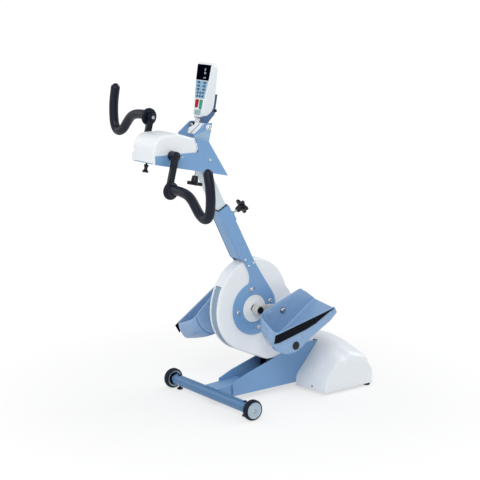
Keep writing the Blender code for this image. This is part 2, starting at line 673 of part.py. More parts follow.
def build_housing():
    """Rear housing: one lofted shell, open below, slotted for the base plates."""
    shares = [-1.0, -0.86, -0.6, -0.25, 0.25, 0.6, 0.86, 1.0]
    bm = bmesh.new()

    def loft(inset, low):
        rows = []
        for share in shares:
            section = housing_section(abs(share))
            shrink = 0.93 if abs(share) == 1.0 else 1.0
            row = []
            for y, z in section:
                top = HOUSING_LOW + (z - HOUSING_LOW) * shrink
                y = min(max(y, section[0][0] + inset), section[-1][0] - inset)
                z = low if z <= HOUSING_LOW else top - inset * 1.15
                row.append(bm.verts.new((share * (HOUSING_X - inset), y, z)))
            rows.append(row)
        return rows

    outer = loft(0.0, HOUSING_LOW)
    inner = loft(HOUSING_WALL, HOUSING_LOW)
    last = len(outer[0])
    for rows, flip in ((outer, False), (inner, True)):
        for a, b in zip(rows[:-1], rows[1:]):
            for i in range(last - 1):
                quad = (a[i], b[i], b[i + 1], a[i + 1])
                bm.faces.new(reversed(quad) if flip else quad)
        bm.faces.new(rows[0] if flip else list(reversed(rows[0])))
        bm.faces.new(list(reversed(rows[-1])) if flip else rows[-1])
    for col in (0, last - 1):
        for a in range(len(outer) - 1):
            bm.faces.new((outer[a][col], outer[a + 1][col], inner[a + 1][col], inner[a][col]))
    for row in (0, len(outer) - 1):
        bm.faces.new((outer[row][0], inner[row][0], inner[row][-1], outer[row][-1]))
    housing = finish("rear_housing", bm, "white_plastic")
    slot = bmesh.new()
    reach = PLATE_X + 0.0006
    top, rear = PLATE_TOP + 0.0006, PLATE_TOP_Y + 0.060
    add_prism(slot, [(PLATE_KNEE_Y, 0.0), (rear, 0.0), (rear, top), (PLATE_TOP_Y - 0.0004, top),
                     (PLATE_KNEE_Y, PLATE_KNEE_Z + 0.0006)], -reach, reach, across)
    boolean(housing, guide("frame_slot", slot), "DIFFERENCE")
    skirt = bmesh.new()
    front, low, rear = SKIRT_FRONT + 0.100, SKIRT_LOW - 0.025, SKIRT_REAR + 0.0008
    add_prism(skirt, [(front, low), (rear, low), (rear + 0.0004, SKIRT_TOP + 0.0015), (front, low + 0.200)],
              -COVER_X - 0.0006, COVER_X + 0.0006, across)
    boolean(housing, guide("skirt_slot", skirt), "DIFFERENCE")
    window = bmesh.new()
    add_box(window, (INLET_X - 0.030, HOUSING_REAR - 0.02, HOUSING_LOW + 0.018),
            (INLET_X + 0.030, HOUSING_REAR + 0.02, HOUSING_LOW + 0.050))
    boolean(housing, guide("inlet_window", window), "DIFFERENCE")


def build_power_inlet():
    """Mains inlet block in the rear wall, with a rocker switch in its own window."""
    back, low = HOUSING_REAR, HOUSING_LOW
    bm = bmesh.new()
    add_box(bm, (INLET_X - 0.0297, back - 0.030, low + 0.0183),
            (INLET_X + 0.0297, back - 0.0002, low + 0.0497))
    block = finish("power_inlet", bm, "black_plastic")
    cut = bmesh.new()
    add_box(cut, (INLET_X - 0.023, back - 0.018, low + 0.023), (INLET_X + 0.003, back + 0.01, low + 0.045))
    add_box(cut, (INLET_X + 0.0095, back - 0.012, low + 0.0235),
            (INLET_X + 0.0245, back + 0.01, low + 0.0445))
    boolean(block, guide("inlet_cut", cut), "DIFFERENCE")
    pins = bmesh.new()
    for dx, dz in ((-0.017, 0.031), (-0.003, 0.031), (-0.010, 0.038)):
        x, z = INLET_X + dx, low + dz
        add_box(pins, (x - 0.0012, back - 0.022, z - 0.002), (x + 0.0012, back - 0.006, z + 0.002))
    boolean(block, guide("inlet_pins", pins), "UNION")
    rocker = joint_empty("rocker_joint", (INLET_X + 0.017, back - 0.0065, low + 0.034))
    outline = [(back - 0.0085, low + 0.0245), (back + 0.0005, low + 0.0245), (back - 0.0035, low + 0.034),
               (back - 0.0018, low + 0.0435), (back - 0.0085, low + 0.0425)]
    prism("rocker_switch", outline, INLET_X + 0.0098, INLET_X + 0.0242, "red", rocker)


def build_rear_feet():
    """Rubber feet under the rear corners of the housing."""
    for side, word in ((1, "right"), (-1, "left")):
        profile = [(0.0, 0.0), (0.0, 0.011), (0.003, 0.0125), (HOUSING_LOW - GAP, 0.0125),
                   (HOUSING_LOW - GAP, 0.0)]
        place = (side * (HOUSING_X - 0.014), HOUSING_REAR - 0.026, 0)
        turned(word + "_rear_foot", profile, place, (0, 0, 1), "black_plastic", seg=16)


def build_leg_cranks():
    """Axle, big pulley and two opposite cranks that turn together."""
    empty = joint_empty("leg_crank_joint", (0, 0, AXLE_Z))
    end = CRANK_X + CRANK_T
    profile = [(-end, 0.0), (-end, AXLE_R - 0.002), (-CRANK_X - GAP, AXLE_R - 0.002),
               (-CRANK_X + GAP, AXLE_R), (CRANK_X - GAP, AXLE_R), (CRANK_X + GAP, AXLE_R - 0.002),
               (end, AXLE_R - 0.002), (end, 0.0)]
    turned("leg_axle", profile, (0, 0, AXLE_Z), (1, 0, 0), "steel", empty)
    half = PULLEY_W / 2
    pulley = [(-0.014, AXLE_R + GAP), (-0.014, 0.020), (-0.002, 0.020), (-0.002, PULLEY_R - 0.008),
              (-half, PULLEY_R - 0.007), (-half, PULLEY_R), (half, PULLEY_R), (half, PULLEY_R - 0.007),
              (0.002, PULLEY_R - 0.008), (0.002, 0.020), (0.014, 0.020), (0.014, AXLE_R + GAP)]
    turned("drive_pulley", pulley, (0, 0, AXLE_Z), (1, 0, 0), "light_steel", empty, 48)
    for side, word in ((1, "right"), (-1, "left")):
        y, z = leg_pedal(side)
        a = math.degrees(math.atan2(z - AXLE_Z, y))
        outline = arc(0, AXLE_Z, CRANK_R, a + 100, a + 260, 10) + arc(y, z, 0.012, a - 80, a + 80, 8)
        bm = bmesh.new()
        add_prism(bm, outline, side * (CRANK_X + 0.002), side * end, across)
        crank = finish(word + "_leg_crank", bm, "light_steel", empty)
        boss = bmesh.new()
        add_turned(boss, rod(CRANK_X - 0.008, end + 0.002, CRANK_R + 0.002, 0.0015), (0, 0, AXLE_Z),
                   (side, 0, 0))
        boolean(crank, guide("crank_boss_" + word, boss), "UNION")
        bore = bmesh.new()
        neck = AXLE_R - 0.002 + GAP
        steps = [(0.0, 0.0), (0.0, AXLE_R + GAP), (CRANK_X, AXLE_R + GAP), (CRANK_X + GAP * 2, neck),
                 (0.09, neck), (0.09, 0.0)]
        add_turned(bore, steps, (0, 0, AXLE_Z), (side, 0, 0))
        add_turned(bore, rod(0.0, 0.09, SPINDLE_R + RUN), (0, y, z), (side, 0, 0))
        boolean(crank, guide("crank_bores_" + word, bore), "DIFFERENCE")


def shell_plan():
    """Plan of the foot shell's rim as (u, x, heel share): u towards the toe, x outboard."""
    heel_in, heel_out = -SHELL_HEEL + SHELL_SKEW, -SHELL_HEEL
    points = [(SHELL_TOE, SHELL_IN, 0.0), (SHELL_TOE - 0.030, SHELL_IN, 0.0), (0.060, SHELL_IN, 0.0),
              (0.0, SHELL_IN, 0.0), (-0.040, SHELL_IN, 0.25)]
    for centre_u, centre_x, radius, start, count in ((heel_in + 0.022, SHELL_IN + 0.022, 0.022, 180.0, 4),
                                                     (heel_out + 0.022, SHELL_OUT - 0.022, 0.022, 270.0, 4)):
        for i in range(count + 1):
            a = math.radians(start + 90.0 * i / count)
            points.append((centre_u + radius * math.sin(a), centre_x + radius * math.cos(a), 1.0))
    points += [(-0.060, SHELL_OUT, 0.4), (0.0, SHELL_OUT, 0.0), (0.060, SHELL_OUT, 0.0),
               (SHELL_TOE - 0.030, SHELL_OUT, 0.0), (SHELL_TOE - 0.005, SHELL_OUT, 0.0)]
    return points


def along(stops, at):
    """Value at a place on a line of (place, value) stops."""
    for (p0, e0), (p1, e1) in zip(stops[:-1], stops[1:]):
        if at <= p1:
            return e0 + (e1 - e0) * max(0.0, at - p0) / (p1 - p0)
    return stops[-1][1]


def sole_sag(u, x, share):
    """How far the sole hangs below the shell's floor, most along the outer side, less round the heel."""
    side = (x - SHELL_IN) / (SHELL_OUT - SHELL_IN)
    at = u - HEEL_OUT * share
    hang = [(-SHELL_HEEL - 0.012, 0.0), (-SHELL_HEEL + 0.017, 0.55), (-SHELL_HEEL + 0.045, 1.0),
            (-SHELL_HEEL + 0.070, 1.0), (0.0, 0.72), (0.090, 0.70), (SHELL_TOE, 0.30)]
    ahead = at + HEEL_OUT + SHELL_HEEL - SHELL_SKEW * (1.0 - side)
    lift = along([(0.0, 0.022), (0.008, 0.015), (0.020, 0.006), (0.034, 0.0)], ahead)
    return SHELL_SAG * along(hang, at) * (0.3 + 0.7 * side) - lift


def rim_height(u, x):
    """Height of the shell's rim: slow fall along the tall inner wall, steeper along the outer one."""
    inner = MEDIAL_H - MEDIAL_FALL * max(0.0, u + SHELL_HEEL / 2) - 0.4 * max(0.0, u - SHELL_RIM_BEND)
    outer = LATERAL_H - (LATERAL_H - TOE_LIP) * (u + SHELL_HEEL) / (SHELL_TOE + SHELL_HEEL)
    share = (x - SHELL_IN) / (SHELL_OUT - SHELL_IN)
    return inner + (outer - inner) * share


def heel_bulge(drop):
    """How far the heel cup stands back at a drop below its rim."""
    return along([(0.0, 0.004), (0.012, 0.014), (0.030, 0.022), (0.050, 0.0265), (0.0735, 0.025),
                  (0.0935, 0.020), (0.125, 0.010)], drop)


def build_foot(side, word):
    """Foot shell, its strap, the outer plug and the pedal spindle, about the pedal axis."""
    y0, z0 = leg_pedal(side)
    empty = joint_empty(word + "_pedal_joint", (side * SHELL_IN, y0, z0))
    tilt = SHELL_TILT[side]

    def place(u, v, x):
        y = y0 + u * math.cos(tilt) - v * math.sin(tilt)
        z = z0 + u * math.sin(tilt) + v * math.cos(tilt)
        return Vector((side * x, y, z))

    plan = shell_plan()
    bm = bmesh.new()
    count = len(plan)
    levels = [(0.0, 0.0055), (0.0045, 0.0005), (0.40, 0.0), (0.70, 0.0), (0.88, 0.0), (1.0, 0.0)]
    rings = [[] for _ in range(2 * len(levels) - 1)]
    for i, (u, x, share) in enumerate(plan):
        before, after = plan[max(i - 1, 0)], plan[min(i + 1, count - 1)]
        inward = Vector((after[1] - before[1], before[0] - after[0])).normalized()
        if i in (0, count - 1):
            inward = Vector((0.0, 1.0 if i == 0 else -1.0))
        rim = rim_height(u, x)
        slope = 0.018 if x < (SHELL_IN + SHELL_OUT) / 2 else 0.007
        floor = SHELL_T + 0.001 + slope * max(0.0, (u + 0.032) / 0.168)
        for k, (level, inset) in enumerate(levels):
            rise = level - sole_sag(u, x, share) if k < 2 else 0.010 + (rim - 0.010) * level
            v = -SHELL_DEPTH + rise
            back = heel_bulge(rim - rise) * share
            if i == 0:
                back += 0.5 * max(0.0, rise - 0.029)
            rings[k].append(bm.verts.new(place(u - back + inward.x * inset, v, x + inward.y * inset)))
            if k == 0:
                continue
            if k == 1:
                v = -SHELL_DEPTH + max(floor, rise + 0.004)
            inner = place(u - back + inward.x * SHELL_T, v, x + inward.y * SHELL_T)
            rings[2 * len(levels) - 1 - k].append(bm.verts.new(inner))
    for a, b in zip(rings[:-1], rings[1:]):
        for i in range(count - 1):
            bm.faces.new((a[i], a[i + 1], b[i + 1], b[i]))
    middle = []
    for ring in (rings[0], rings[-1]):
        line = []
        for i in range(count // 2):
            line.append((ring[i], ring[count - 1 - i]))
        middle.append(line)
    for line, flip in ((middle[0], False), (middle[1], True)):
        for (a, b), (c, d) in zip(line[:-1], line[1:]):
            quad = (a, b, d, c) if flip else (a, c, d, b)
            bm.faces.new(quad)
    if count % 2:
        for ring in (rings[0], rings[-1]):
            half = count // 2
            bm.faces.new((ring[half - 1], ring[half], ring[half + 1]))
    first = [ring[0] for ring in rings]
    last = [ring[-1] for ring in rings]
    bm.faces.new((first[0], first[1], first[-1]))
    bm.faces.new((last[0], last[1], last[-1]))
    bm.faces.new((first[0], first[-1], last[-1], last[0]))
    half = len(rings) // 2
    for side_ring in (first, last):
        for k in range(1, half):
            quad = (side_ring[k], side_ring[k + 1], side_ring[-1 - k], side_ring[-k])
            bm.faces.new(quad)
    shell = finish(word + "_foot_shell", bm, "shell_blue", empty)
    bores = bmesh.new()
    add_turned(bores, rod(SHELL_IN - 0.01, SHELL_IN + 0.01, SPINDLE_R + GAP), (0, y0, z0), (side, 0, 0))
    boolean(shell, guide("shell_bore_" + word, bores), "DIFFERENCE")
    pocket = bmesh.new()
    front, rear, low = SHELL_TOE - 0.022, -SHELL_HEEL + 0.068, -SHELL_DEPTH - SHELL_SAG - 0.02
    add_prism(pocket, [(rear, low), (front, low), (front, -SHELL_DEPTH), (rear, -SHELL_DEPTH)],
              SHELL_IN + 0.008, SHELL_OUT - 0.008, place)
    boolean(shell, guide("sole_pocket_" + word, pocket), "DIFFERENCE")

    crank_end = CRANK_X + CRANK_T
    profile = [(CRANK_X - 0.001, 0.0), (CRANK_X - 0.001, 0.009), (CRANK_X + 0.002 - GAP * 2, 0.009),
               (CRANK_X + 0.002 - GAP * 2, SPINDLE_R), (crank_end + GAP * 2, SPINDLE_R),
               (crank_end + GAP * 2, 0.011), (SHELL_IN - GAP * 2, 0.015), (SHELL_IN - GAP * 2, SPINDLE_R),
               (SHELL_IN + SHELL_T + GAP, SPINDLE_R), (SHELL_IN + SHELL_T + GAP * 2, 0.014),
               (SHELL_IN + SHELL_T + 0.003, 0.013), (SHELL_IN + SHELL_T + 0.006, 0.008),
               (SHELL_IN + SHELL_T + 0.007, 0.0)]
    turned(word + "_pedal_spindle", profile, (0, y0, z0), (side, 0, 0), "steel", empty)

    outside = SHELL_OUT + GAP
    heel, toe = -SHELL_HEEL + 0.003, SHELL_TOE - 0.012
    drops = [(heel - 0.021, 0.0275), (heel + 0.004, 0.0325), (-0.011, 0.0300), (0.032, 0.0250),
             (toe - 0.020, 0.0060), (toe, 0.0040), (toe, 0.0010), (heel - 0.009, 0.0005)]
    strap = [(u, rim_height(max(heel, u), SHELL_OUT) - SHELL_DEPTH - drop) for u, drop in drops]
    prism(word + "_foot_strap", strap, outside, outside + 0.003, "black_plastic", empty, place)


def build_mast():
    """Outer mast tube on two ring plates that clamp round the leg axle."""
    empty = joint_empty("mast_joint", (0, 0, AXLE_Z))
    half_w, half_d = MAST_W / 2, MAST_D / 2
    outline = [(MAST_OFF - half_d, MAST_LOW), (MAST_OFF + half_d, MAST_LOW),
               (MAST_OFF + half_d, MAST_TOP), (MAST_OFF - half_d, MAST_TOP)]
    tube = prism("mast_outer", outline, -half_w, half_w, "frame_blue", empty, mast_frame)
    bevel(tube, 0.004, 2)
    room = bmesh.new()
    wd, ww = half_d - MAST_WALL, half_w - MAST_WALL
    add_prism(room, [(MAST_OFF - wd, MAST_LOW - 0.01), (MAST_OFF + wd, MAST_LOW - 0.01),
                     (MAST_OFF + wd, MAST_TOP + 0.01), (MAST_OFF - wd, MAST_TOP + 0.01)],
              -ww, ww, mast_frame)
    boolean(tube, guide("mast_room", room), "DIFFERENCE")
    nut = bmesh.new()
    back = MAST_OFF + half_d
    add_prism(nut, [(back - 0.001, CLAMP_S - 0.022), (back + 0.010, CLAMP_S - 0.018),
                    (back + 0.010, CLAMP_S + 0.018), (back - 0.001, CLAMP_S + 0.022)],
              -0.020, 0.020, mast_frame)
    boolean(tube, guide("clamp_boss", nut), "UNION")
    bore = bmesh.new()
    add_turned(bore, rod(0.0, 0.10, 0.0045), mast_point(MAST_OFF, CLAMP_S), MAST_BACK, 16)
    boolean(tube, guide("clamp_bore", bore), "DIFFERENCE")

    front, rear = MAST_OFF - half_d, MAST_OFF + half_d
    neck = [(rear, YOKE_TOP), (front, YOKE_TOP), (front, MAST_LOW + 0.002), (0.0345, 0.176),
            (0.0375, 0.158), (0.0385, 0.140), (0.0375, 0.122), (0.034, 0.109), (0.028, 0.099)]
    flare = [(YOKE_R * math.cos(math.radians(a)), YOKE_R * math.sin(math.radians(a)))
             for a in [78.0 + 280.0 * i / 28 for i in range(29)]]
    blend = [(0.0912, 0.010), (0.0893, 0.028), (0.0865, 0.048), (0.0800, 0.100), (rear, 0.150)]
    seat = COVER_X + GAP
    for side, word in ((1, "right"), (-1, "left")):
        yoke = prism(word + "_mast_yoke", neck + flare + blend, side * seat, side * (seat + YOKE_T),
                     "frame_blue", empty, mast_frame)
        taper = bmesh.new()
        full, thin = seat + YOKE_T, seat + YOKE_THIN
        add_prism(taper, [(full, MAST_LOW + 0.014), (thin, YOKE_TOP), (thin, YOKE_TOP + 0.01),
                          (full + 0.02, YOKE_TOP + 0.01), (full + 0.02, MAST_LOW + 0.014)], 0.0, 0.12,
                  lambda p, q, depth, k=side: mast_frame(depth, q, k * p))
        boolean(yoke, guide("yoke_taper_" + word, taper), "DIFFERENCE")
        hole = bmesh.new()
        add_turned(hole, rod(0.0, 0.06, HUB_HOLE_R), (0, 0, AXLE_Z), (side, 0, 0), 40)
        boolean(yoke, guide("yoke_hole_" + word, hole), "DIFFERENCE")
        slots = bmesh.new()
        mid = (HUB_HOLE_R + YOKE_R) / 2 - 0.001
        for a in CLAMP_ANGLES:
            wide = arc(0, AXLE_Z, mid + 0.0038, a - 11, a + 11, 5)
            wide += arc(0, AXLE_Z, mid - 0.0038, a + 11, a - 11, 5)
            add_prism(slots, wide, 0.0, side * 0.06, across)
        boolean(yoke, guide("yoke_slots_" + word, slots), "DIFFERENCE")

    knob_joint = joint_empty("height_knob_joint", mast_point(back + 0.02, CLAMP_S))
    build_star_knob("height_knob", mast_point(MAST_OFF + INNER_D / 2 + GAP, CLAMP_S), MAST_BACK,
                    0.064, knob_joint)


def build_star_knob(name, place, axis, stem, parent):
    """Five-lobed clamp knob on a stem; its far end is what it clamps."""
    bm = bmesh.new()
    profile = [(0.0, 0.0), (0.0, 0.004), (stem - 0.022, 0.004), (stem - 0.022, 0.010), (stem - 0.002, 0.011),
               (stem - 0.002, 0.0)]
    add_turned(bm, profile, place, axis, 16)
    knob = finish(name, bm, "black_plastic", parent)
    head = bmesh.new()
    turn = Vector((0, 0, 1)).rotation_difference(Vector(axis)).to_matrix()
    outline = []
    for i in range(40):
        a = 2 * math.pi * i / 40
        r = KNOB_R * (0.80 + 0.20 * math.cos(5 * a))
        outline.append((r * math.cos(a), r * math.sin(a)))
    add_prism(head, outline, stem + 0.007 - KNOB_T, stem + 0.007,
              lambda a, b, depth: Vector(place) + turn @ Vector((a, b, depth)))
    boolean(knob, guide(name + "_head", head), "UNION")
    return knob


def build_mast_inner():
    """Sliding inner mast tube with the pivot bolt of the arm unit at its top."""
    empty = joint_empty("height_joint", mast_point(MAST_OFF, MAST_TOP))
    half_w, half_d = INNER_W / 2, INNER_D / 2
    outline = [(MAST_OFF - half_d, INNER_LOW), (MAST_OFF + half_d, INNER_LOW),
               (MAST_OFF + half_d, INNER_TOP), (MAST_OFF - half_d, INNER_TOP)]
    tube = prism("mast_inner", outline, -half_w, half_w, "light_steel", empty, mast_frame)
    bevel(tube, 0.004, 2)
    room = bmesh.new()
    wd, ww = half_d - MAST_WALL, half_w - MAST_WALL
    add_prism(room, [(MAST_OFF - wd, INNER_LOW - 0.01), (MAST_OFF + wd, INNER_LOW - 0.01),
                     (MAST_OFF + wd, INNER_TOP + 0.01), (MAST_OFF - wd, INNER_TOP + 0.01)],
              -ww, ww, mast_frame)
    boolean(tube, guide("inner_room", room), "DIFFERENCE")
    bore = bmesh.new()
    add_turned(bore, rod(-0.06, 0.06, PIVOT_R + GAP), mast_point(PIVOT_OFF, PIVOT_S), (1, 0, 0), 16)
    boolean(tube, guide("pivot_bore", bore), "DIFFERENCE")


def build_mast_bush():
    """Plastic guide that centres the inner tube at the mouth of the outer one."""
    out_d, out_w = MAST_D / 2 - MAST_WALL - GAP, MAST_W / 2 - MAST_WALL - GAP
    low, high = MAST_TOP - 0.032, MAST_TOP + 0.003
    outline = [(MAST_OFF - out_d, low), (MAST_OFF + out_d, low), (MAST_OFF + out_d, high),
               (MAST_OFF - out_d, high)]
    bush = prism("mast_bush", outline, -out_w, out_w, "black_plastic", bpy.data.objects["mast_joint"],
                 mast_frame)
    room = bmesh.new()
    in_d, in_w = INNER_D / 2 + GAP, INNER_W / 2 + GAP
    add_prism(room, [(MAST_OFF - in_d, low - 0.01), (MAST_OFF + in_d, low - 0.01),
                     (MAST_OFF + in_d, high + 0.01), (MAST_OFF - in_d, high + 0.01)],
              -in_w, in_w, mast_frame)
    boolean(bush, guide("bush_room", room), "DIFFERENCE")


def bracket_low(y):
    """Height of the arm bracket's sloping underside."""
    return ARM_Z - 0.025 - 0.2113 * (y - CASING_FRONT)


def build_arm_bracket(empty):
    """Folded bracket that carries the arm unit: two cheeks, a floor and two ears."""
    outside = CASING_X + GAP + BRACKET_T
    tail = PIVOT_Y + 0.0723
    cheek = [(CASING_FRONT, bracket_low(CASING_FRONT)), (tail, bracket_low(tail)),
             (PIVOT_Y - 0.0057, PIVOT_Z + 0.0609), (PIVOT_Y - 0.0537, PIVOT_Z + 0.0709),
             (PIVOT_Y - 0.0457, ARM_Z + 0.001), (CASING_FRONT + 0.004, ARM_Z + 0.002)]
    bm = bmesh.new()
    for side in (1, -1):
        add_prism(bm, cheek, side * (outside - BRACKET_T), side * outside, across)
    bracket = finish("arm_bracket", bm, "frame_blue", empty)
    rear = PIVOT_Y - 0.0247
    floor = bmesh.new()
    low_f, low_r = bracket_low(CASING_FRONT + 0.002), bracket_low(rear)
    add_prism(floor, [(CASING_FRONT + 0.002, low_f + 0.0004), (rear, low_r + 0.0004),
                      (rear, low_r + BRACKET_T), (CASING_FRONT + 0.002, low_f + BRACKET_T)],
              -outside + 0.001, outside - 0.001, across)
    boolean(bracket, guide("bracket_floor", floor), "UNION")
    ears, shelf = bmesh.new(), bmesh.new()
    for side in (1, -1):
        ledge = PIVOT_Z + 0.0554
        add_prism(ears, [(CRADLE_Y - 0.0455, ledge), (CRADLE_Y + 0.004, ledge),
                         (CRADLE_Y + 0.018, CRADLE_Z + 0.014), (CRADLE_Y - 0.010, CRADLE_Z + 0.015),
                         (CRADLE_Y - 0.057, CRADLE_Z - 0.020)], side * EAR_X, side * (EAR_X + EAR_T), across)
        add_prism(shelf, [(CRADLE_Y - 0.0435, ledge), (CRADLE_Y - 0.014, ledge),
                          (CRADLE_Y - 0.014, ledge + 0.0025), (CRADLE_Y - 0.0435, ledge + 0.0025)],
                  side * (EAR_X + 0.001), side * (outside - 0.001), across)
    boolean(bracket, guide("bracket_ears", ears), "UNION")
    boolean(bracket, guide("bracket_shelf", shelf), "UNION")
    holes = bmesh.new()
    pivot = mast_point(PIVOT_OFF, PIVOT_S)
    add_turned(holes, rod(-0.1, 0.1, PIVOT_R + RUN), pivot, (1, 0, 0), 16)
    add_turned(holes, rod(-0.1, 0.1, ARM_AXLE_R + RUN), (0, ARM_Y, ARM_Z), (1, 0, 0))
    boolean(bracket, guide("bracket_holes", holes), "DIFFERENCE")
    more = bmesh.new()
    add_turned(more, rod(-0.1, 0.1, 0.004 + RUN), (0, CRADLE_Y, CRADLE_Z), (1, 0, 0), 16)
    for place, axis in (knob_seat(), plunger_seat()):
        add_turned(more, rod(-0.03, 0.03, 0.004 + RUN), place, axis, 16)
    boolean(bracket, guide("bracket_small_holes", more), "DIFFERENCE")


def floor_normal():
    """Direction out of the underside of the arm bracket."""
    return Vector((0.0, -0.2113, -1.0)).normalized()


def knob_seat():
    """Place and direction of the tilt clamp knob, through the bracket's floor."""
    y = PIVOT_Y - 0.0352
    return Vector((0.036, y, bracket_low(y) + BRACKET_T)), floor_normal()


def plunger_seat():
    """Place and direction of the lock plunger near the front of the bracket."""
    y = ARM_Y - 0.037
    return Vector((-0.020, y, bracket_low(y) + BRACKET_T)), floor_normal()


def casing_outline(inset):
    """Side view of the arm casing, round at the user's side."""
    corner = 0.046
    arc_r = corner - inset
    points = [(CASING_REAR - inset, bracket_low(CASING_REAR) + BRACKET_T + GAP),
              (CASING_REAR - inset, ARM_Z - 0.002),
               (CASING_REAR - 0.027 - inset * 0.6, CASING_TOP - 0.016 - inset),
              (ARM_Y + 0.030, CASING_TOP - inset)]
    points += arc(CASING_FRONT + corner, CASING_TOP - corner, arc_r, 90.0, 180.0, 8)
    points.append((CASING_FRONT + inset, bracket_low(CASING_FRONT) + BRACKET_T + GAP * 2))
    return points


def build_arm_casing(empty):
    """White casing round the arm drive, open towards the bracket's floor."""
    casing = prism("arm_casing", casing_outline(0.0), -CASING_X, CASING_X, "white_plastic", empty)
    bevel(casing, 0.006, 2, 50.0)
    room = bmesh.new()
    outline = casing_outline(CASING_WALL)
    outline[0] = (outline[0][0], outline[0][1] - 0.03)
    outline[-1] = (outline[-1][0], outline[-1][1] - 0.03)
    half = CASING_X - CASING_WALL
    add_prism(room, outline, -half, half, across)
    boolean(casing, guide("casing_room", room), "DIFFERENCE")
    hole = bmesh.new()
    add_turned(hole, rod(-0.1, 0.1, ARM_AXLE_R + 0.002), (0, ARM_Y, ARM_Z), (1, 0, 0))
    boolean(casing, guide("casing_holes", hole), "DIFFERENCE")


def build_arm_drive(unit):
    """Small motor, belt and pulleys inside the arm casing."""
    motor_y, motor_z, small = CASING_REAR - 0.042, ARM_Z, 0.009
    inside = CASING_X - CASING_WALL - GAP
    profile = [(0.012, 0.0), (0.012, 0.020), (0.014, 0.022), (inside, 0.022), (inside, 0.0)]
    turned("arm_motor", profile, (0, motor_y, motor_z), (1, 0, 0), "black_plastic", unit)
    rotor = joint_empty("arm_motor_joint", (0, motor_y, motor_z))
    profile = [(-0.006, 0.0), (-0.006, small + 0.002), (-0.0055, small), (0.0055, small),
               (0.006, small + 0.002), (0.006, 0.004), (0.012 - GAP, 0.004), (0.012 - GAP, 0.0)]
    turned("arm_motor_pulley", profile, (0, motor_y, motor_z), (1, 0, 0), "steel", rotor, 20)
    build_belt("arm_belt", (ARM_Y, ARM_Z, ARM_PULLEY_R), (motor_y, motor_z, small), 0.009, 0.002, unit)


def build_arm_cranks():
    """Arm axle and two opposite cranks, each with a run of grip marks along its bar."""
    empty = joint_empty("arm_crank_joint", (0, ARM_Y, ARM_Z))
    end = ARM_CRANK_X + ARM_CRANK_T
    profile = [(-end + 0.001, 0.0), (-end + 0.001, ARM_AXLE_R), (-0.006, ARM_AXLE_R), (-0.006, ARM_PULLEY_R),
               (0.006, ARM_PULLEY_R), (0.006, ARM_AXLE_R), (end - 0.001, ARM_AXLE_R), (end - 0.001, 0.0)]
    turned("arm_axle", profile, (0, ARM_Y, ARM_Z), (1, 0, 0), "steel", empty)
    for side, word in ((1, "right"), (-1, "left")):
        y, z = arm_pivot(side)
        a = math.degrees(math.atan2(z - ARM_Z, y - ARM_Y))
        half = ARM_CRANK_W / 2
        outline = arc(ARM_Y, ARM_Z, half, a + 90, a + 270, 8) + arc(y, z, half, a - 90, a + 90, 8)
        bm = bmesh.new()
        add_prism(bm, outline, side * ARM_CRANK_X, side * end, across)
        crank = finish(word + "_arm_crank", bm, "black_plastic", empty)
        boss = bmesh.new()
        start = CASING_X + BRACKET_T + GAP * 4
        add_turned(boss, rod(start, end + 0.001, 0.0155, 0.001), (0, ARM_Y, ARM_Z), (side, 0, 0))
        add_turned(boss, rod(ARM_CRANK_X - 0.004, end + 0.001, 0.0135, 0.001), (0, y, z), (side, 0, 0))
        boolean(crank, guide("arm_boss_" + word, boss), "UNION")
        cut = bmesh.new()
        add_turned(cut, rod(0.0, end - 0.001 + GAP, ARM_AXLE_R + GAP), (0, ARM_Y, ARM_Z), (side, 0, 0))
        add_turned(cut, rod(0.0, 0.12, 0.006 + RUN), (0, y, z), (side, 0, 0))
        boolean(crank, guide("arm_bores_" + word, cut), "DIFFERENCE")
        groove = bmesh.new()
        along = Vector((0, y - ARM_Y, z - ARM_Z)).normalized()
        out = Vector((0, -along.z, along.y))
        for i in range(9):
            start = Vector((0, ARM_Y, ARM_Z)) + along * (0.024 + 0.0075 * i)
            corners = [(-0.007, 0.0), (0.007, 0.003), (0.007, 0.006), (-0.007, 0.003)]
            add_prism(groove, corners, side * (end - 0.0015), side * (end + 0.01),
                      lambda p, q, depth, s=start: s + out * p + along * q + Vector((depth, 0, 0)))
        boolean(crank, guide("crank_marks_" + word, groove), "DIFFERENCE")


def smooth_path(points, per_span):
    """Catmull-Rom curve through points."""
    ends = [points[0]] + points + [points[-1]]
    curve = []
    for i in range(len(points) - 1):
        p0, p1, p2, p3 = (Vector(ends[i + k]) for k in range(4))
        for k in range(per_span):
            t = k / per_span
            curve.append(0.5 * ((2 * p1) + (p2 - p0) * t + (2 * p0 - 5 * p1 + 4 * p2 - p3) * t * t
                                + (3 * p1 - p0 - 3 * p2 + p3) * t ** 3))
    curve.append(Vector(points[-1]))
    return curve


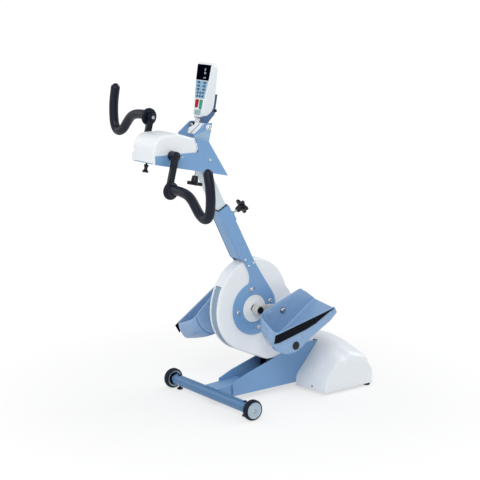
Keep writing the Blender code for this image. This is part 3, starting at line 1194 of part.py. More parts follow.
def build_handle(side, word):
    """Bent grip: spindle and flange on the crank, then a tube that turns down, out and up."""
    y, z = arm_pivot(side)
    empty = joint_empty(word + "_handle_joint", (side * HANDLE_X, y, z))
    end = ARM_CRANK_X + ARM_CRANK_T
    face = end + 0.001 + GAP * 2
    profile = [(ARM_CRANK_X - 0.009, 0.0), (ARM_CRANK_X - 0.009, 0.0095),
               (ARM_CRANK_X - 0.004 - GAP * 2, 0.0095),
               (ARM_CRANK_X - 0.004 - GAP * 2, 0.006), (face, 0.006), (face, FLANGE_R - 0.003),
               (face + 0.002, FLANGE_R), (face + 0.006, FLANGE_R), (face + 0.010, GRIP_R + 0.003),
               (face + 0.014, GRIP_R + 0.001), (face + 0.014, 0.0)]
    handle = turned(word + "_handle", profile, (0, y, z), (side, 0, 0), "grip", empty, 28)
    span = HANDLE_REACH - HANDLE_START
    curve = smooth_path([Vector((HANDLE_START + a * span, b * HANDLE_RISE)) for a, b in HANDLE_PATH], 2)
    bm = bmesh.new()
    rings = []
    count = len(curve)
    for i, point in enumerate(curve):
        tangent = (curve[min(i + 1, count - 1)] - curve[max(i - 1, 0)]).normalized()
        normal = Vector((-tangent.y, tangent.x))
        ring = []
        for k in range(14):
            a = 2 * math.pi * k / 14
            offset = normal * GRIP_R * math.cos(a)
            ring.append(bm.verts.new((side * (point.x + offset.x), y + GRIP_R * math.sin(a),
                                      z + point.y + offset.y)))
        rings.append(ring)
    tip_dir = (curve[-1] - curve[-2]).normalized()
    cap = []
    tip = curve[-1] + tip_dir * 0.006
    normal = Vector((-tip_dir.y, tip_dir.x))
    for k in range(14):
        a = 2 * math.pi * k / 14
        offset = normal * (GRIP_R - 0.005) * math.cos(a)
        cap.append(bm.verts.new((side * (tip.x + offset.x), y + (GRIP_R - 0.005) * math.sin(a),
                                 z + tip.y + offset.y)))
    rings.append(cap)
    for a, b in zip(rings[:-1], rings[1:]):
        for k in range(14):
            m = (k + 1) % 14
            bm.faces.new((a[k], a[m], b[m], b[k]))
    bm.faces.new(rings[0])
    bm.faces.new(list(reversed(rings[-1])))
    boolean(handle, guide("grip_tool_" + word, bm), "UNION")


def build_pivot_bolt(unit):
    """Bolt through the cheeks of the bracket and the top of the mast."""
    outside = CASING_X + GAP + BRACKET_T + GAP
    profile = [(-outside - 0.004, 0.0), (-outside - 0.004, 0.008), (-outside, 0.009), (-outside, PIVOT_R),
               (outside, PIVOT_R), (outside, 0.009), (outside + 0.004, 0.008), (outside + 0.004, 0.0)]
    turned("pivot_bolt", profile, mast_point(PIVOT_OFF, PIVOT_S), (1, 0, 0), "steel", unit, 16)


def build_lock_plunger():
    """Sprung pull pin under the front of the bracket."""
    place, axis = plunger_seat()
    empty = joint_empty("plunger_joint", place)
    profile = [(-0.004, 0.0), (-0.004, 0.003), (-0.003, 0.004), (0.0075, 0.004), (0.0075, 0.0075),
               (0.014, 0.0075), (0.018, 0.005), (0.025, 0.0065), (0.029, 0.0105), (0.033, 0.0105),
               (0.034, 0.0)]
    turned("lock_plunger", profile, place, axis, "black_plastic", empty, 16)


def handset_point(x, h, b):
    """World point from handset coordinates: x across, h up the face, b towards the back."""
    y = HANDSET_Y + h * math.sin(HANDSET_TILT) + b * math.cos(HANDSET_TILT)
    z = HANDSET_Z + h * math.cos(HANDSET_TILT) - b * math.sin(HANDSET_TILT)
    return Vector((x, y, z))


def build_cradle():
    """Tilting cradle between the ears: round cover, trunnions and a back plate for the handset."""
    empty = joint_empty("cradle_joint", (0, CRADLE_Y, CRADLE_Z))
    inside = EAR_X - GAP
    head = EAR_X + EAR_T + GAP
    profile = [(-head - 0.004, 0.0), (-head - 0.004, 0.008), (-head, 0.009), (-head, 0.004),
               (-inside, 0.004),
               (-inside, CRADLE_R), (inside, CRADLE_R), (inside, 0.004), (head, 0.004), (head, 0.010),
               (head + 0.006, 0.009), (head + 0.006, 0.0)]
    cradle = turned("cradle", profile, (0, CRADLE_Y, CRADLE_Z), (1, 0, 0), "white_plastic", empty)
    plate = bmesh.new()
    back = HANDSET_T / 2 + 0.006
    shape = [(-0.014, -GAP), (-0.014, -0.0035), (-0.008, -0.006), (-0.008, -0.022), (0.004, -0.022),
             (0.006, -0.006), (back + 0.003, -0.0035), (back + 0.003, 0.082), (back, 0.082), (back, -GAP)]
    add_prism(plate, shape, -0.026, 0.026, lambda b, h, depth: handset_point(depth, h, b))
    boolean(cradle, guide("cradle_plate", plate), "UNION")
    tongue = bmesh.new()
    shape = [(-0.006, 0.0145), (-0.016, 0.012), (-0.030, -0.006), (-0.036, -0.021), (-0.032, -0.0225),
             (-0.0265, -0.0085), (-0.0135, 0.0075), (-0.003, 0.008)]
    add_prism(tongue, [(CRADLE_Y + y, CRADLE_Z + z) for y, z in shape], -0.022, 0.034, across)
    boolean(cradle, guide("cradle_tongue", tongue), "UNION")
    return empty


def handset_recesses():
    """Recesses in the handset's face: half width or x range, h range and depth of each."""
    top, wide, pad = HANDSET_H, HANDSET_W / 2 - 0.0045, HANDSET_W / 2 - 0.0135
    key = HANDSET_FOOT_W / 2 - 0.003
    return {
        "lens": ((-wide, wide), (top - 0.0585, top - 0.0075), 0.0012),
        "keypad": ((-pad, pad), (top - 0.1180, top - 0.0605), 0.0010),
        "red": ((-key, -0.0020), (top - 0.149, top - 0.122), 0.0030),
        "green": ((0.0025, key - 0.0015), (top - 0.153, top - 0.122), 0.0030),
    }


def add_face_block(bm, across_x, along_h, low, high, grow=0.0):
    """Block on the handset's face between two depths, measured out of the face."""
    front = -HANDSET_T / 2
    (x0, x1), (h0, h1) = across_x, along_h
    outline = [(x0 - grow, h0 - grow), (x1 + grow, h0 - grow), (x1 + grow, h1 + grow),
               (x0 - grow, h1 + grow)]
    add_prism(bm, outline, front - low, front - high, lambda x, h, depth: handset_point(x, h, depth))


def build_handset(cradle):
    """Handset body with its lens, keypad and two sprung keys."""
    half, foot = HANDSET_W / 2, HANDSET_FOOT_W / 2
    outline = [(-foot, 0.006), (-foot + 0.008, 0.0), (foot - 0.008, 0.0), (foot, 0.006),
               (half - 0.006, HANDSET_H - 0.079), (half, HANDSET_H - 0.012), (half - 0.010, HANDSET_H),
               (-half + 0.010, HANDSET_H), (-half, HANDSET_H - 0.012), (-half + 0.006, HANDSET_H - 0.079)]
    body = prism("handset_body", outline, -HANDSET_T / 2, HANDSET_T / 2, "white_plastic", cradle,
                 lambda x, h, depth: handset_point(x, h, depth))
    bevel(body, 0.003, 2, 60.0)
    wedge = bmesh.new()
    back, thin = HANDSET_T / 2, HANDSET_TOP_T - HANDSET_T / 2
    add_prism(wedge, [(back + 0.001, 0.028), (back + 0.02, 0.028), (back + 0.02, HANDSET_H + 0.02),
                      (thin - 0.002, HANDSET_H + 0.02), (thin, HANDSET_H)], -0.05, 0.05,
              lambda b, h, depth: handset_point(depth, h, b))
    boolean(body, guide("handset_wedge", wedge), "DIFFERENCE")
    cut = bmesh.new()
    for x, h, depth in handset_recesses().values():
        add_face_block(cut, x, h, -depth, 0.004, GAP)
    boolean(body, guide("handset_recess_cut", cut), "DIFFERENCE")
    sizes = handset_recesses()
    bm = bmesh.new()
    x, h, depth = sizes["lens"]
    add_face_block(bm, x, h, -depth + GAP, 0.0002)
    finish("display_lens", bm, "lens", cradle)
    bm = bmesh.new()
    x, h, depth = sizes["keypad"]
    add_face_block(bm, x, h, -depth + GAP, 0.0)
    pad = finish("keypad", bm, "keypad", cradle)
    keys = bmesh.new()
    for row, columns in enumerate((3, 3, 3, 2, 2)):
        middle = h[0] + 0.0075 + row * 0.0110
        for col in range(columns):
            centre = (col - (columns - 1) / 2) * (0.0155 if columns == 3 else 0.022)
            add_face_block(keys, (centre - 0.0055, centre + 0.0055), (middle - 0.0036, middle + 0.0036),
                           -0.0003, 0.0012)
    boolean(pad, guide("keypad_keys", keys), "UNION")
    for name in ("red", "green"):
        x, h, depth = sizes[name]
        empty = joint_empty(name + "_button_joint", handset_point(sum(x) / 2, sum(h) / 2, -HANDSET_T / 2))
        bm = bmesh.new()
        inset = 0.0004
        add_face_block(bm, (x[0] + inset, x[1] - inset), (h[0] + inset, h[1] - inset),
                       -depth + 0.0015, 0.0016)
        finish(name + "_button", bm, name, empty)


def main():
    """Build the whole machine in the order it would be put together."""
    clear_scene()
    build_base()
    build_wheels()
    build_uprights()
    build_drum_covers()
    build_drive()
    build_housing()
    build_power_inlet()
    build_rear_feet()
    build_leg_cranks()
    for side, word in ((1, "right"), (-1, "left")):
        build_foot(side, word)
    build_mast()
    build_mast_inner()
    build_mast_bush()
    unit = joint_empty("arm_unit_joint", mast_point(PIVOT_OFF, PIVOT_S))
    build_arm_bracket(unit)
    build_arm_casing(unit)
    build_arm_drive(unit)
    build_pivot_bolt(unit)
    place, axis = knob_seat()
    knob_joint = joint_empty("tilt_knob_joint", place)
    build_star_knob("tilt_knob", place - axis * 0.004, axis, 0.047, knob_joint)
    build_lock_plunger()
    build_arm_cranks()
    for side, word in ((1, "right"), (-1, "left")):
        build_handle(side, word)
    cradle = build_cradle()
    build_handset(cradle)


main()
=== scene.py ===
"""Finished model of an active passive trainer, built round its packed mechanism.

Metres, +Z up, +X to the user's right, -Y towards the user. Most forms are grids of points worked out
with numpy: a turned profile, a plate with rounded edges, a tube along a path, or a lofted shell. Flat
sheet parts and cranks are copies of the mechanism's own nodes with rounds on their edges.
"""
import logging
import math
from dataclasses import dataclass, field
from enum import Enum
from typing import Callable, Mapping, Sequence

import bmesh
import bpy
import numpy as np
from mathutils import Matrix


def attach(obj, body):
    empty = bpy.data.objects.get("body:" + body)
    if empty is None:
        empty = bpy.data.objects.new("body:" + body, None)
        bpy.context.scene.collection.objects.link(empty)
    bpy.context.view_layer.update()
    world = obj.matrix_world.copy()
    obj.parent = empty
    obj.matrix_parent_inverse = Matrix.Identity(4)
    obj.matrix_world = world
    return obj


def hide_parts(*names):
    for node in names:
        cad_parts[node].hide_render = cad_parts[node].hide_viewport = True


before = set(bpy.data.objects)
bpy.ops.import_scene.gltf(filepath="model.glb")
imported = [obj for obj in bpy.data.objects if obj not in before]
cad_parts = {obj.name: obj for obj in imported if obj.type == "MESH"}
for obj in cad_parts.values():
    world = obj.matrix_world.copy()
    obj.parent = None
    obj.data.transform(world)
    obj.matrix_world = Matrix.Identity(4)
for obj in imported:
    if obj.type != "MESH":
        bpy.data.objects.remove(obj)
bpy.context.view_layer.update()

Array = np.ndarray
Pairs = Sequence[tuple[float, float]]
LOG = logging.getLogger("trainer")
GAP = 0.0003  # air between two pieces that lie against each other
AXLE_Z = 0.315  # height of the leg axle, round which drum and mast are laid out
COVER_X = 0.026  # outer face of a drum cover
YOKE_T = 0.004  # thickness of a ring plate of the mast
SIDES = ((1, "right"), (-1, "left"))


class Grain(Enum):
    """Fine relief of a finish: cells per metre, share of that along each axis, depth in metres."""

    POWDER = (900.0, (1.0, 1.0, 1.0), 0.00022)
    MOULDED = (2200.0, (1.0, 1.0, 1.0), 0.00008)
    BRUSHED = (900.0, (0.03, 1.0, 1.0), 0.00010)
    TURNED = (1400.0, (1.0, 0.08, 0.08), 0.00008)
    RUBBER = (1500.0, (1.0, 1.0, 1.0), 0.00020)
    GLASSY = (300.0, (1.0, 1.0, 1.0), 0.00002)


def wire(tree: bpy.types.NodeTree, node: bpy.types.Node, values: Mapping[str, object] | None = None,
         feeds: Mapping[str | int, bpy.types.NodeSocket] | None = None) -> bpy.types.Node:
    """Set some inputs of a node and link others.

    Args:
        tree: Node tree that holds the node.
        node: The node.
        values: Value of each input that is set.
        feeds: Output that each linked input takes.

    Returns:
        The same node.
    """
    for socket, value in (values or {}).items():
        node.inputs[socket].default_value = value
    for socket, source in (feeds or {}).items():
        tree.links.new(source, node.inputs[socket])
    return node


def add_object(name: str, data: bpy.types.ID) -> bpy.types.Object:
    """Make an object of its data and link it to the scene."""
    made = bpy.data.objects.new(name, data)
    bpy.context.scene.collection.objects.link(made)
    return made


@dataclass(frozen=True)
class Finish:
    """One surface finish: its colour as it looks, its gloss and its fine relief."""

    title: str
    slot: str
    colour: tuple[int, int, int]
    rough: float = 0.4
    metal: float = 0.0
    coat: float = 0.0
    grain: Grain = Grain.MOULDED
    relief: float = 0.12
    mottle: float = 0.05
    shine: float = 0.5

    def linear(self, gain: float) -> tuple[float, float, float, float]:
        """Scene-linear colour from the sRGB one, times gain, held below white."""
        srgb = np.array(self.colour, float) / 255.0
        value = np.where(srgb <= 0.04045, srgb / 12.92, ((srgb + 0.055) / 1.055) ** 2.4)
        return (*(float(v) for v in np.clip(value * gain, 0.0, 0.9)), 1.0)

    def material(self) -> bpy.types.Material:
        """The finish as a node material, made once.

        Returns:
            A Principled material with a soft mottle, uneven gloss and fine relief.
        """
        found = bpy.data.materials.get(self.title)
        if found:
            return found
        made = bpy.data.materials.new(self.title)
        made.use_nodes = True
        tree = made.node_tree
        coords = tree.nodes.new("ShaderNodeTexCoord").outputs["Object"]
        mix = tree.nodes.new("ShaderNodeMix")
        mix.data_type = "RGBA"
        wire(tree, mix, {"A": self.linear(1.0 - self.mottle), "B": self.linear(1.0 + self.mottle)},
             {"Factor": self._noise(tree, coords, 14.0, 4.0)})
        gloss = wire(tree, tree.nodes.new("ShaderNodeMapRange"),
                     {"From Min": 0.3, "From Max": 0.7, "To Min": max(0.03, self.rough * 0.82),
                      "To Max": min(1.0, self.rough * 1.2)},
                     {"Value": self._noise(tree, coords, 55.0, 6.0)})
        scale, stretch, depth = self.grain.value
        bump = wire(tree, tree.nodes.new("ShaderNodeBump"), {"Strength": self.relief, "Distance": depth},
                    {"Height": self._noise(tree, coords, scale, 3.0, stretch)})
        wire(tree, tree.nodes["Principled BSDF"],
             {"Metallic": self.metal, "Coat Weight": self.coat, "Coat Roughness": 0.12,
              "Specular IOR Level": self.shine},
             {"Base Color": mix.outputs["Result"], "Roughness": gloss.outputs["Result"],
              "Normal": bump.outputs["Normal"]})
        return made

    @staticmethod
    def _noise(tree: bpy.types.NodeTree, coords: bpy.types.NodeSocket, scale: float, detail: float,
               stretch: tuple[float, float, float] = (1.0, 1.0, 1.0)) -> bpy.types.NodeSocket:
        """Add a noise pattern.

        Args:
            tree: The material's node tree.
            coords: The coordinates that the pattern takes.
            scale: Pattern size, in cells per metre.
            detail: Octaves of the noise.
            stretch: Share of the scale along each axis.

        Returns:
            The socket with the noise's value.
        """
        mapping = wire(tree, tree.nodes.new("ShaderNodeMapping"), {"Scale": stretch}, {"Vector": coords})
        noise = wire(tree, tree.nodes.new("ShaderNodeTexNoise"), {"Scale": scale, "Detail": detail},
                     {"Vector": mapping.outputs["Vector"]})
        return noise.outputs["Fac"]


PAINT = Finish("blue_powder_coat", "frame_paint", (114, 156, 200), 0.38, coat=0.2, grain=Grain.POWDER)
TUBE_PAINT = Finish("blue_tube_coat", "frame_paint", (66, 114, 158), 0.36, coat=0.2, grain=Grain.POWDER)
# Paler copy of the frame paint, painted as the light on the ears' upward faces.
LIT_FRAME_PAINT = Finish("powder_coat_painted_light", "frame_paint", (150, 180, 208), 0.38, coat=0.2, grain=Grain.POWDER)
SHELL = Finish("blue_shell_moulding", "shell_plastic", (131, 164, 201), 0.28, coat=0.3, relief=0.06)
WHITE = Finish("white_moulding", "white_plastic", (230, 234, 238), 0.36, coat=0.1, mottle=0.015)
CASE = Finish("handset_moulding", "white_plastic", (224, 229, 233), 0.36, mottle=0.02)
CREAM = Finish("joint_cover_moulding", "cradle_plastic", (226, 231, 235), 0.36, mottle=0.02)
BAND = Finish("grey_rim_band", "grey_band", (132, 157, 178), 0.5, relief=0.3)
TUBE = Finish("anodised_tube", "inner_tube", (204, 216, 222), 0.36, metal=0.12, grain=Grain.BRUSHED)
STEEL = Finish("machined_steel", "steel", (178, 182, 186), 0.28, metal=1.0, grain=Grain.TURNED, relief=0.3)
BRIGHT = Finish("plated_steel", "steel", (205, 210, 214), 0.14, metal=1.0, grain=Grain.GLASSY)
ALLOY = Finish("cast_alloy", "crank_metal", (206, 207, 200), 0.42, metal=0.25, relief=0.3)
BLACK = Finish("black_moulding", "black_plastic", (12, 16, 25), 0.34, shine=0.35)
CRANK = Finish("black_crank_coat", "crank_black", (12, 19, 32), 0.36, grain=Grain.POWDER, shine=0.3)
GRIP = Finish("grip_sleeve", "grip_rubber", (9, 17, 34), 0.42, grain=Grain.RUBBER, relief=0.35, shine=0.28)
STRAP = Finish("black_side_band", "strap", (8, 12, 22), 0.42, grain=Grain.RUBBER, relief=0.2, shine=0.08)
BELT = Finish("ribbed_belt", "belt_rubber", (28, 28, 30), 0.75, grain=Grain.RUBBER, relief=0.5)
TYRE = Finish("solid_tyre", "tyre", (17, 27, 41), 0.6, grain=Grain.RUBBER, relief=0.5, shine=0.2)
HUB = Finish("wheel_disc", "wheel_hub", (168, 188, 200), 0.36, metal=0.3, grain=Grain.TURNED)
BOARD = Finish("circuit_board", "board", (42, 120, 74), 0.45)
LENS = Finish("dark_window", "lens", (4, 4, 16), 0.30, grain=Grain.GLASSY, relief=0.02, shine=0.0)
GLYPH = Finish("lit_segments", "lens", (206, 216, 236), 0.3)
PAD = Finish("blue_membrane", "keypad", (128, 168, 194), 0.48)
KEYS = Finish("navy_keys", "keypad", (26, 54, 96), 0.5, shine=0.25)
FOIL = Finish("grey_strip", "keypad", (140, 172, 170), 0.45)
RED = Finish("red_key_moulding", "red_plastic", (172, 0, 22), 0.5, shine=0.1)
GREEN = Finish("green_key_moulding", "green_plastic", (34, 146, 124), 0.45, shine=0.25)
# Dark blue painted as the shade in narrow gaps: inside the heel's rim, down the heel's outer corner and in
# the tilting joint's slot.
PAINTED_SHADE_LINE = Finish("shadow_line", "black_plastic", (44, 72, 112), 0.6, shine=0.2)
# Lighter blue painted as the highlight along the crease between the inner wall and the floor.
HIGHLIGHT_LINE = Finish("painted_highlight_line", "shell_plastic", (168, 198, 234), 0.3)
# The cradle plates' own blue, darkened with painted shade from the handset's shadow that falls on them.
SLATE_AND_SHADE = Finish("slate_bracket_painted_shade", "cradle_plastic", (74, 104, 142), 0.4, shine=0.3)
BRONZE = Finish("dull_fitting", "steel", (134, 126, 118), 0.42, metal=0.8)

INSIDE = {
    "axle_uprights": STEEL, "right_bearing": STEEL, "left_bearing": STEEL, "leg_axle": STEEL,
    "motor_pulley": STEEL, "arm_motor_pulley": STEEL, "arm_axle": STEEL, "drive_pulley": ALLOY,
    "drive_motor": CRANK, "arm_motor": CRANK, "drive_belt": BELT, "arm_belt": BELT,
    "control_board": BOARD,
}


def soften(points: Pairs | Array, radius: float, steps: int = 5, closed: bool = True) -> Array:
    """Round the corners of a flat outline.

    Each corner gives way to a quadratic curve that starts and ends radius away from it, or half way
    to its neighbour where that is nearer.

    Args:
        points: Corners of the outline.
        radius: Distance from a corner at which its curve starts.
        steps: Points on each curve, less one.
        closed: Whether the outline closes on itself; an open one keeps its two ends.

    Returns:
        The rounded outline.
    """
    corner = np.asarray(points, float)
    before, after = np.roll(corner, 1, axis=0) - corner, np.roll(corner, -1, axis=0) - corner
    if not closed:
        before[[0, -1]] = after[[0, -1]] = 1e-12
    pull = []
    for arm in (before, after):
        length = np.maximum(np.linalg.norm(arm, axis=1, keepdims=True), 1e-9)
        pull.append(corner + arm / length * np.minimum(radius, length / 2))
    t = np.linspace(0.0, 1.0, steps + 1)[None, :, None]
    curve = (1 - t) ** 2 * pull[0][:, None] + 2 * t * (1 - t) * corner[:, None] + t ** 2 * pull[1][:, None]
    flat = curve.reshape(-1, corner.shape[1])
    keep = np.linalg.norm(flat - np.roll(flat, 1, axis=0), axis=1) > 1e-7
    return flat[keep]


def resample(points: Pairs | Array, count: int) -> Array:
    """Catmull-Rom curve through points, as count points evenly spaced along it.

    Args:
        points: Points that the curve passes through.
        count: Number of points on the result.

    Returns:
        The evenly spaced points.
    """
    known = np.asarray(points, float)
    ends = np.vstack((2 * known[0] - known[1], known, 2 * known[-1] - known[-2]))
    t = np.linspace(0.0, 1.0, 12, endpoint=False)[None, :, None]
    p0, p1, p2, p3 = (ends[k:len(ends) - 3 + k][:, None] for k in range(4))
    fine = 0.5 * (2 * p1 + (p2 - p0) * t + (2 * p0 - 5 * p1 + 4 * p2 - p3) * t ** 2
                  + (3 * p1 - p0 - 3 * p2 + p3) * t ** 3)
    fine = np.vstack((fine.reshape(-1, known.shape[1]), known[-1:]))
    along = np.concatenate(([0.0], np.cumsum(np.linalg.norm(np.diff(fine, axis=0), axis=1))))
    place = np.linspace(0.0, along[-1], count)
    return np.stack([np.interp(place, along, fine[:, k]) for k in range(known.shape[1])], axis=1)


def inset(outline: Array, distance: float) -> Array:
    """Move a closed outline inwards by distance, each corner along its bisector.

    Args:
        outline: Corners of the outline, in either sense.
        distance: How far each edge moves towards the inside.

    Returns:
        The smaller outline, with as many points.
    """
    ahead = np.roll(outline, -1, axis=0) - outline
    (x, y), (next_x, next_y) = outline.T, np.roll(outline, -1, axis=0).T
    area = 0.5 * np.sum(x * next_y - next_x * y)
    normal = np.stack((-ahead[:, 1], ahead[:, 0]), axis=1)
    normal *= math.copysign(1.0, area) / np.maximum(np.linalg.norm(normal, axis=1, keepdims=True), 1e-9)
    both = normal + np.roll(normal, 1, axis=0)
    both /= np.maximum(np.linalg.norm(both, axis=1, keepdims=True), 1e-9)
    slant = np.clip(np.sum(both * normal, axis=1, keepdims=True), 0.5, 1.0)
    return outline + both * distance / slant


def arc(centre: tuple[float, float], radius: float, start: float, end: float, count: int) -> Array:
    """Points of an arc about centre, from start to end in degrees."""
    a = np.radians(np.linspace(start, end, count + 1))
    return np.stack((centre[0] + radius * np.cos(a), centre[1] + radius * np.sin(a)), axis=1)


def rod(low: float, high: float, radius: float, edge: float = 0.0008) -> Array:
    """Turned profile of a plain rod with rounded rims, as (along, radius) points."""
    return soften([(low, 0.0), (low, radius), (high, radius), (high, 0.0)], edge, 4, closed=False)


@dataclass(frozen=True)
class Plane:
    """A flat frame in space: an origin, two axes in the plane and one through it."""

    origin: tuple[float, float, float]
    first: tuple[float, float, float]
    second: tuple[float, float, float]
    depth: tuple[float, float, float]

    def at(self, points: Array, deep: float | Array = 0.0) -> Array:
        """Place flat points in space.

        Args:
            points: Array of (first, second) pairs.
            deep: How far through the plane each point lies.

        Returns:
            Array of points in space.
        """
        flat = np.asarray(points, float)
        through = np.broadcast_to(np.asarray(deep, float), flat.shape[:-1])[..., None]
        return (np.array(self.origin) + flat[..., :1] * np.array(self.first)
                + flat[..., 1:2] * np.array(self.second) + through * np.array(self.depth))


SIDE = Plane((0, 0, 0), (0, 1, 0), (0, 0, 1), (1, 0, 0))
LEAN = math.radians(27.4)
MAST_UP = (0.0, -math.sin(LEAN), math.cos(LEAN))
MAST_BACK = (0.0, math.cos(LEAN), math.sin(LEAN))
MAST = Plane((0, 0, AXLE_Z), MAST_BACK, MAST_UP, (1, 0, 0))


class Shape:
    """Collects grids of points and makes one object of them."""

    def __init__(self) -> None:
        """Start with no points."""
        self._points: list[Array] = []
        self._faces: list[list[int]] = []
        self._count = 0

    def grid(self, points: Array, wrap: bool = False, caps: bool = False, loop: bool = False) -> "Shape":
        """Add a grid of points as four-sided faces.

        Args:
            points: Array of rows by columns by three.
            wrap: Whether the last column joins the first.
            caps: Whether the first and last rows are closed with a face each.
            loop: Whether the last row joins the first.

        Returns:
            The shape itself.
        """
        rows, cols = points.shape[:2]
        index = np.arange(rows * cols).reshape(rows, cols) + self._count
        near = np.concatenate((index, index[:1])) if loop else index
        here, there = (near, np.roll(near, -1, axis=1)) if wrap else (near[:, :-1], near[:, 1:])
        quads = np.stack((here[:-1], there[:-1], there[1:], here[1:]), axis=-1).reshape(-1, 4)
        self._faces += quads.tolist()
        if caps:
            self._faces += [index[0].tolist(), index[-1][::-1].tolist()]
        self._points.append(points.reshape(-1, 3))
        self._count += rows * cols
        return self

    def lathe(self, profile: Pairs | Array, place: Sequence[float], axis: Sequence[float], seg: int = 64,
              closed: bool = False) -> "Shape":
        """Add a turned form: radius as a function of the distance along the axis.

        Args:
            profile: (along, radius) points.
            place: Point on the axis from which along is measured.
            axis: Direction of the axis.
            seg: Points round each ring.
            closed: Whether the profile closes on itself, as a ring's does.

        Returns:
            The shape itself.
        """
        line = np.asarray(profile, float)
        unit = np.asarray(axis, float) / np.linalg.norm(axis)
        side = np.cross(unit, (0.0, 0.0, 1.0) if abs(unit[2]) < 0.9 else (0.0, 1.0, 0.0))
        side /= np.linalg.norm(side)
        other = np.cross(unit, side)
        a = np.linspace(0.0, 2 * math.pi, seg, endpoint=False)[None, :, None]
        ring = np.cos(a) * side + np.sin(a) * other
        points = np.asarray(place, float) + line[:, :1, None] * unit + line[:, 1:, None] * ring
        return self.grid(points, wrap=True, loop=closed)

    def turn(self, profile: Pairs | Array, edge: float, place: Sequence[float], axis: Sequence[float],
             seg: int = 40, steps: int = 3, closed: bool = False) -> "Shape":
        """Add a turned form whose profile has its corners rounded first.

        Args:
            profile: (along, radius) points.
            edge: Distance from a corner at which its round starts.
            place: Point on the axis from which along is measured.
            axis: Direction of the axis.
            seg: Points round each ring.
            steps: Points on each round, less one.
            closed: Whether the profile closes on itself, as a ring's does.

        Returns:
            The shape itself.
        """
        return self.lathe(soften(profile, edge, steps, closed), place, axis, seg, closed)

    def slab(self, outline: Pairs | Array, low: float, high: float, edge: float, plane: Plane = SIDE,
             steps: int = 4) -> "Shape":
        """Add a plate whose rim turns over in a quarter circle on both sides.

        Row k of the grid is the outline moved inwards by edge (1 - cos a) at depth edge (1 - sin a),
        for a from 0 to 90 degrees on each side.

        Args:
            outline: Closed outline in the plane.
            low: Depth of the first face.
            high: Depth of the second face.
            edge: Radius of the rounded rim.
            plane: Where the outline lies.
            steps: Rows on each rounded rim.

        Returns:
            The shape itself.
        """
        flat = np.asarray(outline, float)
        low, high = min(low, high), max(low, high)
        edge = min(edge, (high - low) / 2.001)
        a = np.radians(np.linspace(90.0, 0.0, steps + 1))
        move = np.concatenate(([edge * 1.08 + 1e-5], edge * (1 - np.cos(a[::-1]))[::-1]))
        deep = np.concatenate(([0.0], edge * (1 - np.sin(a))))
        rows = [plane.at(inset(flat, m), low + d) for m, d in zip(move, deep)]
        rows += [plane.at(inset(flat, m), high - d) for m, d in zip(move[::-1], deep[::-1])]
        return self.grid(np.stack(rows), wrap=True, caps=True)

    def tube(self, path: Array, radius: float | Array, seg: int = 24, flat: float = 1.0,
             caps: bool = True) -> "Shape":
        """Add a round tube along a path, its rings square to the path.

        Args:
            path: Points of the middle line.
            radius: Radius, or one radius for each point.
            seg: Points round each ring.
            flat: Share of the radius along the second axis of each ring.
            caps: Whether both ends are closed.

        Returns:
            The shape itself.
        """
        line = np.asarray(path, float)
        tangent = np.gradient(line, axis=0)
        tangent /= np.linalg.norm(tangent, axis=1, keepdims=True)
        spread = np.ptp(line, axis=0)
        guide = np.eye(3)[int(np.argmin(spread))]
        side = np.cross(tangent, guide)
        side /= np.maximum(np.linalg.norm(side, axis=1, keepdims=True), 1e-9)
        other = np.cross(tangent, side)
        size = np.broadcast_to(np.asarray(radius, float), (len(line),))[:, None, None]
        a = np.linspace(0.0, 2 * math.pi, seg, endpoint=False)[None, :, None]
        points = line[:, None] + size * (np.cos(a) * side[:, None] + flat * np.sin(a) * other[:, None])
        return self.grid(points, wrap=True, caps=caps)

    def warp(self, move: Callable[[Array], Array]) -> "Shape":
        """Move every point by a rule that takes and gives arrays of points."""
        self._points = [move(points) for points in self._points]
        return self

    def raw(self, name: str) -> bpy.types.Object:
        """Make the object, with its doubles merged and its faces outwards.

        Args:
            name: Name of the object.

        Returns:
            The object, without a material and on no body yet.
        """
        mesh = bpy.data.meshes.new(name)
        mesh.from_pydata(np.concatenate(self._points).tolist(), [], self._faces)
        form = bmesh.new()
        form.from_mesh(mesh)
        bmesh.ops.remove_doubles(form, verts=form.verts, dist=2e-6)
        bmesh.ops.recalc_face_normals(form, faces=form.faces)
        form.to_mesh(mesh)
        form.free()
        return add_object(name, mesh)

    def piece(self, name: str, body: str, finish: Finish, replaces: Sequence[str] = (),
              crease: float = 35.0) -> bpy.types.Object:
        """Make the object and dress it. See dress for the arguments."""
        return dress(self.raw(name), body, finish, replaces, crease)


def dress(made: bpy.types.Object, body: str, finish: Finish, replaces: Sequence[str] = (),
          crease: float = 35.0, edge: float = 0.0) -> bpy.types.Object:
    """Shade a form, give it its finish and seat it on its body.

    Args:
        made: The form.
        body: Moving body that carries it.
        finish: Its surface finish.
        replaces: CAD nodes that it stands for.
        crease: Angle in degrees above which an edge stays sharp.
        edge: Width of a small round on its sharp edges, or nought.

    Returns:
        The same object.
    """
    made.data.shade_smooth()
    made.data.set_sharp_from_angle(angle=math.radians(crease))
    made.data.materials.clear()
    made.data.materials.append(finish.material())
    if edge:
        bevel = made.modifiers.new("rounded_edges", "BEVEL")
        bevel.width = edge
        bevel.segments = 2
        bevel.limit_method = "ANGLE"
        bevel.angle_limit = math.radians(crease)
        bevel.harden_normals = True
    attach(made, body)
    if replaces:
        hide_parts(*replaces)
    LOG.info("%s on %s, finish %s", made.name, body, finish.title)
    return made


def carve(made: bpy.types.Object, tool: bpy.types.Object) -> bpy.types.Object:
    """Cut one closed form out of another and drop the tool.

    Args:
        made: The form that is cut.
        tool: The form that is taken away.

    Returns:
        The cut form.
    """
    cut = made.modifiers.new("carve", "BOOLEAN")
    cut.operation = "DIFFERENCE"
    cut.solver = "EXACT"
    cut.object = tool
    seen = made.evaluated_get(bpy.context.evaluated_depsgraph_get())
    mesh = bpy.data.meshes.new_from_object(seen)
    made.modifiers.clear()
    made.data = mesh
    bpy.data.objects.remove(tool, do_unlink=True)
    return made


